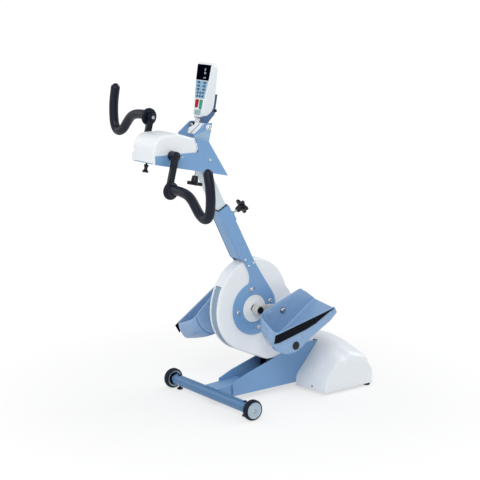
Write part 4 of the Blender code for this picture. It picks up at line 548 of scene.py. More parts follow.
def bore(made: bpy.types.Object, low: float, high: float, radius: float, place: Sequence[float],
         axis: Sequence[float], seg: int = 32) -> bpy.types.Object:
    """Drill a round hole into a form.

    Args:
        made: The form.
        low: Where the drill starts along the axis.
        high: Where it ends.
        radius: Radius of the hole.
        place: Point on the axis from which both are measured.
        axis: Direction of the axis.
        seg: Points round the hole.

    Returns:
        The same form.
    """
    return carve(made, Shape().lathe(rod(low, high, radius, 0.0001), place, axis, seg).raw("drill"))


def pocket(made: bpy.types.Object, outline: Pairs | Array, low: float, high: float,
           plane: Plane = SIDE) -> bpy.types.Object:
    """Cut a straight-sided opening into a form.

    Args:
        made: The form.
        outline: Outline of the opening in the plane.
        low: Depth of its one end.
        high: Depth of its other end.
        plane: Where the outline lies.

    Returns:
        The same form.
    """
    return carve(made, Shape().slab(outline, low, high, 0.0, plane).raw("cutter"))


def rounded_copy(name: str, node: str, body: str, finish: Finish, edge: float,
                 crease: float = 28.0) -> bpy.types.Object:
    """Merged copy of a CAD node with small rounds on its edges.

    Args:
        name: Name of the new piece.
        node: CAD node that is copied and replaced.
        body: Moving body that carries it.
        finish: Its surface finish.
        edge: Width of the rounds.
        crease: Angle in degrees above which an edge is rounded.

    Returns:
        The new piece.
    """
    form = bmesh.new()
    form.from_mesh(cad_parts[node].data)
    bmesh.ops.remove_doubles(form, verts=form.verts, dist=5e-6)
    bmesh.ops.dissolve_limit(form, angle_limit=math.radians(0.6), verts=form.verts, edges=form.edges)
    mesh = bpy.data.meshes.new(name)
    form.to_mesh(mesh)
    form.free()
    return dress(add_object(name, mesh), body, finish, (node,), crease, edge)


def move_points(held: bpy.types.Object, rule: Callable[[Array], Array]) -> None:
    """Set every point of a piece's mesh to what the rule makes of it.

    Args:
        held: The piece.
        rule: Takes all points as rows and returns them moved.
    """
    spots = np.empty(len(held.data.vertices) * 3)
    held.data.vertices.foreach_get("co", spots)
    held.data.vertices.foreach_set("co", rule(spots.reshape(-1, 3)).ravel())


@dataclass
class Stage:
    """Plain pale floor, soft lamps and the camera at the photograph's angle."""

    azimuth: float = math.radians(52.6)  # camera's direction from the front towards the right
    elevation: float = math.radians(11.6)
    focal_px: float = 1457.5  # focal length and picture size in pixels
    frame_px: float = 480.0
    distance: float = 5.0
    sensor_mm: float = 36.0
    lamps_at: tuple[float, float, float] = (0.0, 0.0, 0.55)  # point that the lamps face
    target: tuple[float, float, float] = (0.027, 0.0, AXLE_Z)  # point that the camera shows at target_px
    target_px: tuple[float, float] = (254.0, 308.25)

    def build(self) -> None:
        """Make the floor, the world, the lamps and the camera."""
        self._floor()
        self._world()
        self._lamp("key", (3.2, -3.0, 3.6), 2.4, 120.0)
        self._lamp("fill", (-3.4, -2.2, 2.4), 3.0, 30.0)
        self._lamp("back", (0.5, 3.6, 3.2), 2.6, 60.0)
        self._camera()
        bpy.context.scene.view_settings.view_transform = "Standard"

    def _floor(self) -> None:
        """Flat pale floor that shows white and keeps the shadow."""
        mesh = bpy.data.meshes.new("floor")
        mesh.from_pydata([(-12, -12, 0), (12, -12, 0), (12, 12, 0), (-12, 12, 0)], [], [(0, 1, 2, 3)])
        made = bpy.data.materials.new("pale_floor")
        made.use_nodes = True
        tree = made.node_tree
        base = wire(tree, tree.nodes["Principled BSDF"],
                    {"Base Color": (0.82, 0.82, 0.82, 1.0), "Roughness": 0.9})
        path = tree.nodes.new("ShaderNodeLightPath")
        seen = tree.nodes.new("ShaderNodeMath")
        seen.operation = "MAXIMUM"
        wire(tree, seen, feeds={0: path.outputs["Is Camera Ray"], 1: path.outputs["Is Glossy Ray"]})
        away = tree.nodes.new("ShaderNodeVectorMath")
        away.operation = "LENGTH"
        wire(tree, away, feeds={0: tree.nodes.new("ShaderNodeTexCoord").outputs["Object"]})
        fade = tree.nodes.new("ShaderNodeMapRange")
        fade.interpolation_type = "SMOOTHSTEP"
        wire(tree, fade, {"From Min": 0.45, "From Max": 1.5, "To Min": 0.60, "To Max": 1.0},
             {"Value": away.outputs["Value"]})
        share = tree.nodes.new("ShaderNodeMath")
        share.operation = "MULTIPLY"
        wire(tree, share, feeds={0: seen.outputs["Value"], 1: fade.outputs["Result"]})
        glow = wire(tree, tree.nodes.new("ShaderNodeEmission"),
                    {"Color": (1.0, 1.0, 1.0, 1.0), "Strength": 1.04})
        mix = wire(tree, tree.nodes.new("ShaderNodeMixShader"),
                   feeds={"Fac": share.outputs["Value"], 1: base.outputs["BSDF"],
                          2: glow.outputs["Emission"]})
        wire(tree, tree.nodes["Material Output"], feeds={"Surface": mix.outputs["Shader"]})
        mesh.materials.append(made)
        floor = add_object("floor", mesh)

    def _world(self) -> None:
        """Even pale surroundings, white where the camera sees them."""
        world = bpy.data.worlds.new("studio")
        world.use_nodes = True
        bpy.context.scene.world = world
        tree = world.node_tree
        level = wire(tree, tree.nodes.new("ShaderNodeMapRange"), {"To Min": 0.62, "To Max": 1.05},
                     {"Value": tree.nodes.new("ShaderNodeLightPath").outputs["Is Camera Ray"]})
        wire(tree, tree.nodes["Background"], {"Color": (0.97, 0.985, 1.0, 1.0)},
             {"Strength": level.outputs["Result"]})

    def _lamp(self, name: str, place: tuple[float, float, float], size: float, power: float) -> None:
        """Add a large square lamp that faces the middle of the machine.

        Args:
            name: Name of the lamp.
            place: Where it hangs.
            size: Length of its side.
            power: Its power in watts.
        """
        lamp = bpy.data.lights.new(name, "AREA")
        lamp.shape = "SQUARE"
        lamp.size = size
        lamp.energy = power
        toward = np.array(place) - np.array(self.lamps_at)
        add_object(name, lamp).matrix_world = self._aim(np.array(place), toward)

    @staticmethod
    def _aim(place: Array, back: Array) -> Matrix:
        """Matrix of something at place whose local +Z points along back."""
        z = back / np.linalg.norm(back)
        x = np.cross((0.0, 0.0, 1.0), z)
        x /= np.linalg.norm(x)
        turn = np.stack((x, np.cross(z, x), z), axis=1)
        return Matrix([(*row, float(p)) for row, p in zip(turn, place)] + [(0, 0, 0, 1)])

    def _camera(self) -> None:
        """Camera whose axes and place put target on target_px."""
        back = np.array((math.sin(self.azimuth) * math.cos(self.elevation),
                         -math.cos(self.azimuth) * math.cos(self.elevation), math.sin(self.elevation)))
        right = np.array((math.cos(self.azimuth), math.sin(self.azimuth), 0.0))
        up = np.cross(back, right)
        half = self.frame_px / 2
        ray = (right * (self.target_px[0] - half) / self.focal_px
               - up * (self.target_px[1] - half) / self.focal_px - back)
        place = np.array(self.target) - ray * self.distance
        lens = bpy.data.cameras.new("camera")
        lens.sensor_width = self.sensor_mm
        lens.lens = self.sensor_mm * self.focal_px / self.frame_px
        held = add_object("camera", lens)
        held.matrix_world = self._aim(place, back)
        bpy.context.scene.camera = held


@dataclass
class BaseFrame:
    """Channel, front beam, wheel tube, levelling screws and transport wheels."""

    cross_y: float = -0.162  # wheel tube's middle and radius
    cross_r: float = 0.019
    wheel_r: float = 0.035
    wheel_w: float = 0.028
    wheel_x: float = 0.228  # middle of a wheel
    foot_x: float = 0.188  # middle of a levelling screw
    tyre_t: float = 0.0065  # thickness of a tyre

    def build(self) -> None:
        """Build every piece of the base."""
        rounded_copy("channel_frame", "base_frame", "base", PAINT, 0.0012)
        beam = rounded_copy("nose_beam", "front_beam", "base", PAINT, 0.0012)
        move_points(beam, self._beam_slope)
        self._wheel_tube()
        for side, word in SIDES:
            self._level_screw(side, word)
            self._wheel(side, word)

    def _beam_slope(self, spots: Array) -> Array:
        """The beam's top, let down in a straight slope until it rests on the wheel tube."""
        start, below, drop = -0.030, 0.0555, 0.0066
        share = np.clip((spots[:, 1] - start) / (self.cross_y - start), 0.0, 1.0)
        spots[:, 2] -= np.where(spots[:, 2] > below, drop * share, 0.0)
        return spots

    def _wheel_tube(self) -> None:
        """Painted tube, turned, with shouldered plugs and stub axles at its ends."""
        reach = self.wheel_x - self.wheel_w / 2 - 0.006
        end = self.wheel_x + self.wheel_w / 2 - 0.004
        half = [(0.0, self.cross_r), (reach - 0.012, self.cross_r), (reach - 0.0115, self.cross_r - 0.0007),
                (reach - 0.0105, self.cross_r - 0.0007), (reach - 0.010, self.cross_r), (reach, self.cross_r),
                (reach + 0.004, self.cross_r - 0.004), (reach + 0.004, 0.005), (end, 0.005), (end, 0.0)]
        whole = [(-a, r) for a, r in half[:0:-1]] + half
        Shape().turn(whole, 0.0012, (0, self.cross_y, self.wheel_r), (1, 0, 0), 96).piece(
            "wheel_tube", "base", TUBE_PAINT, ("crossbar",))

    def _level_screw(self, side: int, word: str) -> None:
        """Screw through the wheel tube with a knurled pad below and a cap on top.

        Args:
            side: 1 for the right, -1 for the left.
            word: Name of the side.
        """
        top = self.wheel_r + self.cross_r
        place = (side * self.foot_x, self.cross_y, 0.0)
        line = [(0.004, 0.0), (0.004, 0.0105), (0.008, 0.0105), (0.010, 0.0042), (top + GAP, 0.0042),
                (top + GAP, 0.0062), (top + 0.0020, 0.0060), (top + 0.0032, 0.0048), (top + 0.0040, 0.002),
                (top + 0.0040, 0.0)]
        shape = Shape().turn(line, 0.0006, place, (0, 0, 1))
        for x, y in arc(place[:2], 0.0060, 0.0, 324.0, 9):  # ten knurls
            shape.lathe(rod(0.0, 0.0018, 0.0008, 0.0002), (x, y, top + 0.0004), (0, 0, 1), 10)
        shape.piece(word + "_level_screw", "base", BLACK, (word + "_levelling_foot",))

    def _wheel(self, side: int, word: str) -> None:
        """Solid tyre with a crowned tread, disc hub with a raised boss, and the axle's cap.

        Args:
            side: 1 for the right, -1 for the left.
            word: Name of the side.
        """
        half, tread_r, rim = self.wheel_w / 2, self.wheel_r, self.wheel_r - self.tyre_t
        place, body, out = (side * self.wheel_x, self.cross_y, tread_r), word + "_wheel", (side, 0, 0)
        slope = [(half - 0.002, rim), (half - 0.0015, rim + 0.0025), (half - 0.006, tread_r - 0.0012),
                 (0.005, tread_r), (0.0046, tread_r - 0.0008), (0.0038, tread_r - 0.0008), (0.0034, tread_r)]
        tread = [(-a, r) for a, r in slope] + slope[::-1]
        Shape().turn(tread, 0.0012, place, out, 96, 4, closed=True).piece(
            word + "_solid_tyre", body, TYRE, (word + "_tyre",))
        hole, hub = 0.00535, rim - GAP
        disc = [(-half + 0.001, hole), (-half + 0.001, 0.011), (-half + 0.006, 0.011),
                (-half + 0.006, hub - 0.003), (-half + 0.003, hub - 0.002), (-half + 0.003, hub),
                (half - 0.003, hub), (half - 0.002, hub - 0.001), (half - 0.002, hub - 0.0035),
                (half - 0.0032, hub - 0.0045), (half - 0.0028, 0.0125), (half - 0.0014, 0.0105),
                (half - 0.0010, 0.0080), (half, 0.0072), (half, hole)]
        Shape().turn(disc, 0.0006, place, out, 96, closed=True).piece(
            word + "_wheel_disc", body, HUB, (word + "_wheel_hub",))
        ring = [(-half + 0.0056, 0.0118), (-half + 0.0056, hub - 0.0050), (-half + 0.0064, hub - 0.0050),
                (-half + 0.0064, 0.0118)]
        Shape().lathe(ring, place, out, 96, closed=True).piece(word + "_wheel_recess", body, BLACK)
        cap = [(0.0, 0.0), (0.0, 0.0045), (0.0022, 0.0040), (0.0030, 0.0)]
        tip = (side * (self.wheel_x + half - 0.004), self.cross_y, tread_r)
        Shape().turn(cap, 0.001, tip, out, 32, 4).piece(word + "_axle_cap", "base", BRIGHT)


@dataclass
class Drum:
    """Drum casing of two halves with a belt skirt, the band between them and the ring's screws."""

    axle_z: float = AXLE_Z
    radius: float = 0.152  # of the round lower part
    tall: float = 0.175  # of the half ellipse above the axle
    cover_x: float = COVER_X
    wall: float = 0.0025
    skirt_x: float = 0.0365  # outer face of the belt skirt
    band_x: float = 0.0155  # half the grey band's width
    band_t: float = 0.003
    band: tuple[float, float] = (149.0, 244.0)  # degrees at which the band starts and ends
    hub_r: float = 0.049  # inner and outer radius of the mast's ring
    ring_r: float = 0.092
    hole_r: float = 0.014  # hole for the axle
    yoke_t: float = YOKE_T
    clamp_deg: tuple[float, ...] = (100.0, 184.0, 285.0, 15.0)  # clamp screws round the axle
    shoulder: float = 0.006  # round between rim and side

    def build(self) -> None:
        """Build both covers, the band and the screws."""
        for side, word in SIDES:
            self._cover(side, word)
        outer = np.array(self._outline(0.003, *self.band, 80))
        inner = np.array(self._outline(0.003 + self.band_t, *self.band, 80))[::-1]
        Shape().slab(np.vstack((outer, inner)), -self.band_x, self.band_x, 0.0008).piece(
            "grey_band_strip", "base", BAND, ("rim_band",))
        self._screws()

    def _outline(self, depth: float, start: float, end: float, count: int) -> Array:
        """Drum profile: a circle below the axle and a taller half ellipse above it."""
        a = np.radians(np.linspace(start, end, count + 1))
        tall = np.where(np.sin(a) > 0, self.tall, self.radius)
        return np.stack(((self.radius - depth) * np.cos(a), self.axle_z + (tall - depth) * np.sin(a)), axis=1)

    def _polar(self, count: int) -> tuple[Array, Array]:
        """Angles round the axle and the casing's reach at each, skirt included.

        Args:
            count: Number of angles.

        Returns:
            The angles in radians and the reach in metres.
        """
        drum = self._outline(0.0, 22.0, 245.0, 90)
        skirt = [(0.050, 0.126), (0.100, 0.125), (0.250, 0.125), (0.268, 0.176)]
        corners = np.vstack((drum, skirt))
        closed = np.vstack((corners, corners[:1]))
        steps = np.linspace(0.0, 1.0, 12, endpoint=False)[None, :, None]
        fine = (closed[:-1, None] * (1 - steps) + closed[1:, None] * steps).reshape(-1, 2)
        fine = soften(fine[::4], 0.012, 2)
        around = np.arctan2(fine[:, 1] - self.axle_z, fine[:, 0])
        reach = np.hypot(fine[:, 0], fine[:, 1] - self.axle_z)
        order = np.argsort(around)
        angle = np.linspace(-math.pi, math.pi, count, endpoint=False)
        return angle, np.interp(angle, around[order], reach[order], period=2 * math.pi)

    def _flare(self, y: Array, z: Array) -> Array:
        """How far the side stands out at (y, z): it swells from the drum to the belt skirt.

        The swell rises smoothly from nought on an upper line to full on a lower line.
        """
        upper = np.interp(y, [-0.035, 0.05, 0.15, 0.262], [0.186, 0.235, 0.250, 0.180])
        lower = np.interp(y, [-0.010, 0.05, 0.160, 0.258], [0.150, 0.185, 0.190, 0.160])
        share = np.clip((upper - z) / np.maximum(upper - lower, 0.004), 0.0, 1.0)
        ends = np.clip((y + 0.035) / 0.05, 0.0, 1.0)
        return (self.skirt_x - self.cover_x) * share * share * (3 - 2 * share) * ends

    def _cover(self, side: int, word: str) -> None:
        """One half: reach round the axle by the way over the rim, across the side and back inside.

        Each row is its x, its reach, the reach at which the swell is taken, and its share of that swell.

        Args:
            side: 1 for the right, -1 for the left.
            word: Name of the side.
        """
        angle, reach = self._polar(360)
        r, foot = self.shoulder, reach - self.shoulder - self.wall
        rim = [(GAP / 2, 0.0), (0.008, 0.0), (0.0155, 0.0)]
        rim += [(self.cover_x - r + r * math.sin(t), r * (1 - math.cos(t)))
                for t in np.radians(np.linspace(0.0, 90.0, 7))]
        face = np.linspace(0.012, 1.0, 12)
        rows = [(x, reach - down, reach, x / self.cover_x) for x, down in rim]
        for x, start, shares in ((self.cover_x, reach - r, face),
                                 (self.cover_x - self.wall, foot, face[::-1])):
            line = [start * (1 - share) + self.hole_r * share for share in shares]
            rows += [(x, rho, rho, 1.0) for rho in line]
        rows.append((GAP / 2, foot, reach, 0.0))
        grid = []
        for x, rho, felt, share in rows:
            swell = self._flare(felt * np.cos(angle), self.axle_z + felt * np.sin(angle))
            grid.append(np.stack((side * (x + swell * share), rho * np.cos(angle),
                                  self.axle_z + rho * np.sin(angle)), axis=-1))
        half = Shape().grid(np.stack(grid), wrap=True, loop=True).raw(word + "_drum_half")
        start, end = self.band[0] - 0.3, self.band[1] + 0.3
        groove = np.vstack((self._outline(-0.004, start, end, 60),
                            self._outline(0.0068, start, end, 60)[::-1]))
        pocket(half, groove, -side * 0.004, side * (self.band_x + GAP))
        mouth = [(0.056, 0.110), (0.262, 0.110), (0.262, 0.140), (0.056, 0.140)]
        pocket(half, mouth, -side * 0.004, side * (self.cover_x - self.wall))
        holes = Shape()
        for y, z in self.screw_places():
            holes.lathe(rod(0.01, 0.05, 0.0036, 0.0001), (0, y, z), (side, 0, 0), 20)
        carve(half, holes.raw("drill"))
        dress(half, "base", WHITE, ("drum_cover_" + word,), 30.0)
        top = self.cover_x + self.yoke_t
        disc = [(self.cover_x - 0.0005, 0.0132), (self.cover_x - 0.0005, self.hub_r - 0.001),
                (top - 0.0012, self.hub_r - 0.001), (top - 0.0004, self.hub_r - 0.002),
                (top - 0.0004, self.hub_r - 0.006), (top - 0.0011, self.hub_r - 0.0075),
                (top - 0.0011, 0.024), (top - 0.0005, 0.022), (top - 0.0005, 0.0145), (top - 0.0012, 0.0132)]
        Shape().turn(disc, 0.0005, (0, 0, self.axle_z), (side, 0, 0), 96, closed=True).piece(
            word + "_hub_disc", "base", WHITE)

    def screw_places(self) -> Array:
        """Side-view places of the four clamp screws, midway across the ring."""
        mid = (self.hub_r + self.ring_r) / 2 - 0.001
        a = np.radians(self.clamp_deg)
        return np.stack((mid * np.cos(a), self.axle_z + mid * np.sin(a)), axis=1)

    def _screws(self) -> None:
        """Domed screw heads with a socket, on the ends of the clamp studs."""
        face = self.cover_x + 2 * GAP + self.yoke_t
        line = [(0.0, 0.0), (0.0, 0.0072), (0.0012, 0.0072), (0.0028, 0.0058), (0.0034, 0.0034),
                (0.0034, 0.0026), (0.0018, 0.0024), (0.0018, 0.0)]
        shape = Shape()
        for side in (1, -1):
            for y, z in self.screw_places():
                shape.turn(line, 0.0005, (side * face, y, z), (side, 0, 0), 32)
        shape.piece("clamp_screw_heads", "base", BRIGHT)


@dataclass
class Housing:
    """White rear housing, its feet and the mains inlet with its switch."""

    half: float = 0.176  # half the width
    front: float = 0.180
    rear: float = 0.430
    low: float = 0.010  # lower edge
    wall: float = 0.003
    shares: tuple[float, ...] = (0.1, 0.25, 0.4, 0.55, 0.7, 0.8, 0.88, 0.92, 0.955, 0.98, 0.995, 1.0)

    def build(self) -> None:
        """Build the shell, the inlet, the rocker and the feet."""
        self._shell()
        self._inlet()
        for side, word in SIDES:
            line = [(0.0, 0.0), (0.0, 0.0105), (0.002, 0.0122), (self.low - GAP, 0.0125),
                    (self.low - GAP, 0.0)]
            place = (side * (self.half - 0.014), self.rear - 0.026, 0.0)
            Shape().turn(line, 0.0008, place, (0, 0, 1)).piece(
                word + "_rubber_foot", "base", BLACK, (word + "_rear_foot",))
            screw = [(-0.002, 0.0), (-0.002, 0.0032), (0.0012, 0.0030), (0.0016, 0.0015), (0.0016, 0.0)]
            Shape().lathe(screw, (side * 0.1166, self.front + 0.0087, 0.0231), (0, -1, 0), 24).piece(
                word + "_cover_screw", "base", BLACK)

    def _section(self, share: float, depth: float) -> Array:
        """Side profile at a share of the half width, moved in by depth.

        Args:
            share: 0 in the middle, 1 at the outer side.
            depth: How far the profile lies inside the outer surface.

        Returns:
            Points from the front foot over the top to the rear foot.
        """
        f = share
        front, rear = self.front - 0.010 + 0.028 * f, self.rear - 0.012 * f ** 4
        ridge = 0.178 - 0.046 * f ** 1.5
        line = np.array([(front, self.low), (front + 0.0005, 0.030), (front + 0.004, 0.050),
                         (front + 0.016, 0.066 - 0.004 * f), (front + 0.040, 0.092 - 0.002 * f),
                         (front + 0.072, 0.132 - 0.014 * f), (front + 0.100, ridge - 0.012),
                         (0.308 + 0.006 * f, ridge), (0.345, ridge - 0.007),
                         (0.385, ridge - 0.028 + 0.008 * f), (rear - 0.022, 0.098 - 0.004 * f),
                         (rear - 0.006, 0.068), (rear, 0.038), (rear, self.low)])
        curve = resample(line, 72)
        shrink = 1.0 - 0.07 * np.clip((f - 0.90) / 0.10, 0.0, 1.0) ** 2.5
        z = self.low + (curve[:, 1] - self.low) * shrink - depth * 1.15 * (curve[:, 1] > self.low + 1e-6)
        y = np.clip(curve[:, 0], front + depth, rear - depth)
        return np.stack((y, np.maximum(z, self.low)), axis=1)

    def _shell(self) -> None:
        """Lofted shell: the side profile carried across the width, with its inner face joined at the foot."""
        share = np.array([-s for s in self.shares[::-1]] + [0.0, *self.shares])
        rows = []
        for depth in (0.0, self.wall):
            flat = np.stack([self._section(abs(s), depth) for s in share])
            x = np.broadcast_to((share * (self.half - depth))[:, None, None], (*flat.shape[:2], 1))
            rows.append(np.concatenate((x, flat), axis=2))
        shape = Shape()
        for grid in rows:
            shape.grid(grid)
            for end in (grid[0], grid[-1]):
                foot = end.copy()
                foot[:, 2] = self.low
                steps = np.linspace(0.0, 1.0, 6)[:, None, None]
                shape.grid(end[None] * (1 - steps) + foot[None] * steps)
        for k in (0, -1):
            shape.grid(np.stack((rows[0][:, k], rows[1][:, k])))
            foot = np.stack((rows[0][k], rows[1][k]))
            foot[..., 2] = self.low
            shape.grid(foot)
        made = shape.raw("rear_cover")
        slot = [(0.100, -0.01), (0.300, -0.01), (0.300, 0.1606), (0.2396, 0.1606), (0.100, 0.1346)]
        pocket(made, slot, -0.0416, 0.0416)
        skirt = [(0.150, 0.10), (0.2692, 0.10), (0.2696, 0.1775), (0.150, 0.30)]
        pocket(made, skirt, -0.0375, 0.0375)
        window = [(self.rear - 0.02, 0.028), (self.rear + 0.02, 0.028),
                  (self.rear + 0.02, 0.060), (self.rear - 0.02, 0.060)]
        pocket(made, window, -0.145, -0.085)
        dress(made, "base", WHITE, ("rear_housing",), 38.0)

    def _inlet(self) -> None:
        """Inlet block and the rocker switch in its window."""
        rounded_copy("mains_inlet", "power_inlet", "base", BLACK, 0.0006)
        rounded_copy("mains_rocker", "rocker_switch", "rocker", RED, 0.0006)


@dataclass
class LegDrive:
    """Leg cranks with their bosses and the black caps on the axle's ends."""

    axle_z: float = AXLE_Z
    crank_x: float = 0.046  # inner face of a crank
    crank_t: float = 0.014

    def build(self) -> None:
        """Dress the cranks and add the caps."""
        end = self.crank_x + self.crank_t
        for side, word in SIDES:
            rounded_copy(word + "_pedal_crank", word + "_leg_crank", "leg_crank", ALLOY, 0.0010)
            line = [(end - 0.001, 0.0), (end - 0.001, 0.0078), (end + 0.003, 0.0078), (end + 0.003, 0.0125),
                    (end + 0.006, 0.0118), (end + 0.007, 0.0)]
            Shape().turn(line, 0.0008, (0, 0, self.axle_z), (side, 0, 0), 48).piece(
                word + "_axle_end_cap", "leg_crank", BLACK)


@dataclass
class FootShell:
    """One foot shell on its pedal axis: a tapering scoop with a tall inner wall."""

    side: int
    crank: float = 0.066  # throw of the pedal axis, and its angle about the leg axle
    crank_deg: float = -1.5
    near: float = 0.098  # inner and outer wall, from the machine's middle
    far: float = 0.213
    wall: float = 0.005
    heel: float = 0.123  # heel's reach behind the pedal axis
    skew: float = 0.034  # how much less the heel's inner corner reaches
    toe: float = 0.134  # toe's reach before the pedal axis
    deep: float = 0.0695  # sole below the pedal axis
    sag: float = 0.024  # most that the sole hangs below the floor
    heel_out: float = 0.025  # how far the heel cup bulges
    inner_h: float = 0.1135  # inner wall's height at the heel, and its fall
    inner_fall: float = 0.126
    outer_h: float = 0.084  # outer wall's height at the heel, and at the toe
    toe_lip: float = 0.016
    bend: float = 0.093  # place from which the inner wall falls faster
    tilt_deg: dict[int, float] = field(default_factory=lambda: {1: 27.0, -1: 48.0})  # tilt at rest

    def __post_init__(self) -> None:
        """Work out the pedal axis and the shell's own plane."""
        a = math.radians(self.crank_deg)
        t = math.radians(self.tilt_deg[self.side])
        self.word = "right" if self.side > 0 else "left"
        self.body = self.word + "_foot"
        throw, c, s = self.side * self.crank, math.cos(t), math.sin(t)
        self.axis = (0.0, throw * math.cos(a), AXLE_Z + throw * math.sin(a))
        self.plane = Plane(self.axis, (0, c, s), (0, -s, c), (self.side, 0, 0))

    def build(self) -> None:
        """Build the scoop, the side band, the pivot and the small fittings."""
        self._scoop()
        self._side_band()
        self._lines()
        self._pivot()

    def _plan(self) -> tuple[Array, Array, Array]:
        """Plan of the wall round the heel, from the inner toe to the outer toe.

        Returns:
            Place towards the toe, place outboard, and share of the heel's bulge.
        """
        back_in, back_out = -self.heel + self.skew, -self.heel
        corners = [(self.toe, self.near), (0.0, self.near), (back_in, self.near), (back_out, self.far),
                   (0.0, self.far), (self.toe - 0.005, self.far)]
        line = soften(corners, 0.030, 10, closed=False)
        along = np.concatenate(([0.0], np.cumsum(np.linalg.norm(np.diff(line, axis=0), axis=1))))
        place = np.linspace(0.0, along[-1], 141)
        u, x = (np.interp(place, along, line[:, k]) for k in range(2))
        edge = back_in + (back_out - back_in) * np.clip((x - self.near) / (self.far - self.near), 0, 1)
        share = np.clip(1.0 - (u - edge) / 0.055, 0.0, 1.0)
        return u, x, share * share * (3 - 2 * share)

    @staticmethod
    def _inward(u: Array, x: Array) -> tuple[Array, Array]:
        """Unit steps from the plan towards the inside, at each of its points."""
        grad_u, grad_x = np.gradient(u), np.gradient(x)
        size = np.hypot(grad_u, grad_x)
        return grad_x / size, -grad_u / size

    def rim(self, u: Array, x: Array) -> Array:
        """Height of the rim: a slow fall along the inner wall, steeper along the outer one."""
        tall = self.inner_h - self.inner_fall * np.maximum(0.0, u + self.heel / 2)
        tall -= 0.4 * np.maximum(0.0, u - self.bend)
        short = self.outer_h - (self.outer_h - self.toe_lip) * (u + self.heel) / (self.toe + self.heel)
        return tall + (short - tall) * (x - self.near) / (self.far - self.near)

    @staticmethod
    def bulge(drop: Array) -> Array:
        """How far the heel cup stands back at a drop below its rim."""
        return np.interp(drop, [0.0, 0.012, 0.030, 0.050, 0.0735, 0.0935, 0.125],
                         [0.004, 0.014, 0.022, 0.0265, 0.025, 0.020, 0.010])

    def hang(self, u: Array, x: Array, share: Array) -> Array:
        """How far the sole hangs below the floor.

        It hangs most along the outer side and rises again round the heel.

        Args:
            u: Place towards the toe.
            x: Place outboard.
            share: Share of the heel's bulge.

        Returns:
            The drop below the floor, less than nought where the sole is higher.
        """
        side = (x - self.near) / (self.far - self.near)
        at = u - self.heel_out * share
        belly = np.interp(at + self.heel, [-0.012, 0.017, 0.045, 0.070, 0.123, 0.213, 0.257],
                          [0.0, 0.55, 1.0, 1.0, 0.72, 0.70, 0.30])
        ahead = at + self.heel_out + self.heel - self.skew * (1.0 - side)
        lift = np.interp(ahead, [0.0, 0.008, 0.020, 0.034], [0.022, 0.015, 0.006, 0.0])
        return self.sag * belly * (0.3 + 0.7 * side) - lift

    def _wall(self) -> Array:
        """The wall by height and by way round the plan: up the outside, over the lip, down the inside.

        Returns:
            Array of rows by columns by three, from the sole's edge to the floor's edge.
        """
        u, x, heel_share = self._plan()
        in_u, in_x = self._inward(u, x)
        toe_share = np.clip((u - (self.toe - 0.030)) / 0.030, 0.0, 1.0) * (x < self.near + 0.01)
        height, hang = self.rim(u, x), self.hang(u, x, heel_share)
        slope = np.where(x < (self.near + self.far) / 2, 0.018, 0.007)
        floor = self.wall + 0.001 + slope * np.maximum(0.0, (u + 0.032) / 0.168)
        floor = np.maximum(floor, 0.0085 - hang)
        t, r, fillet = self.wall, 0.0055, 0.006
        a, b = np.radians(np.linspace(0.0, 90.0, 6)), np.radians(np.linspace(15.0, 165.0, 8))
        rows = [(np.full_like(u, r * (1 - math.cos(v))), r * (1 - math.sin(v))) for v in a]
        rows += [(r + (height - t / 2 - r) * k, 0.0) for k in np.linspace(0.06, 1.0, 14)]
        outside = len(rows)
        rows += [(height - t / 2 + t / 2 * math.sin(v), t / 2 * (1 - math.cos(v))) for v in b]
        rows += [(floor + fillet + (height - t / 2 - floor - fillet) * k, t)
                 for k in np.linspace(1.0, 0.0, 10)]
        rows += [(floor + fillet * (1 - math.sin(v)), t + fillet * (1 - math.cos(v))) for v in a[1:]]
        grid = []
        for k, (rise, move) in enumerate(rows):
            if k < outside:
                rise = rise - hang * np.clip(1.0 - (rise - r) / (0.4 * (height - r)), 0.0, 1.0)
            back = self.bulge(height - rise) * heel_share + 0.5 * np.maximum(0.0, rise - 0.029) * toe_share
            flat = np.stack((u - back + in_u * move, rise - self.deep), axis=1)
            grid.append(self.plane.at(flat, x + in_x * move))
        return np.stack(grid)

    def _scoop(self) -> None:
        """The wall closed by a sole, a floor and its toe edges, and bored for the pedal pin."""
        wall = self._wall()
        shape = Shape().grid(wall)
        middle, half = wall.shape[0] // 2, wall.shape[1] // 2 + 1
        steps = np.linspace(0.0, 1.0, 15)[:, None]
        for ring in (wall[0], wall[-1]):
            shape.grid(ring[:half] * (1 - steps[..., None]) + ring[::-1][:half] * steps[..., None])
        shape.grid(np.stack([ring[0] * (1 - steps) + ring[-1] * steps for ring in (wall[0], wall[-1])]))
        for edge in (wall[:, 0], wall[:, -1]):
            shape.grid(np.stack((edge[:middle], edge[::-1][:middle])))
        made = shape.raw(self.word + "_scoop")
        bore(made, self.near - 0.01, self.near + 0.012, 0.0063, self.axis, (self.side, 0, 0))
        dress(made, self.body, SHELL, (self.word + "_foot_shell",), 40.0)

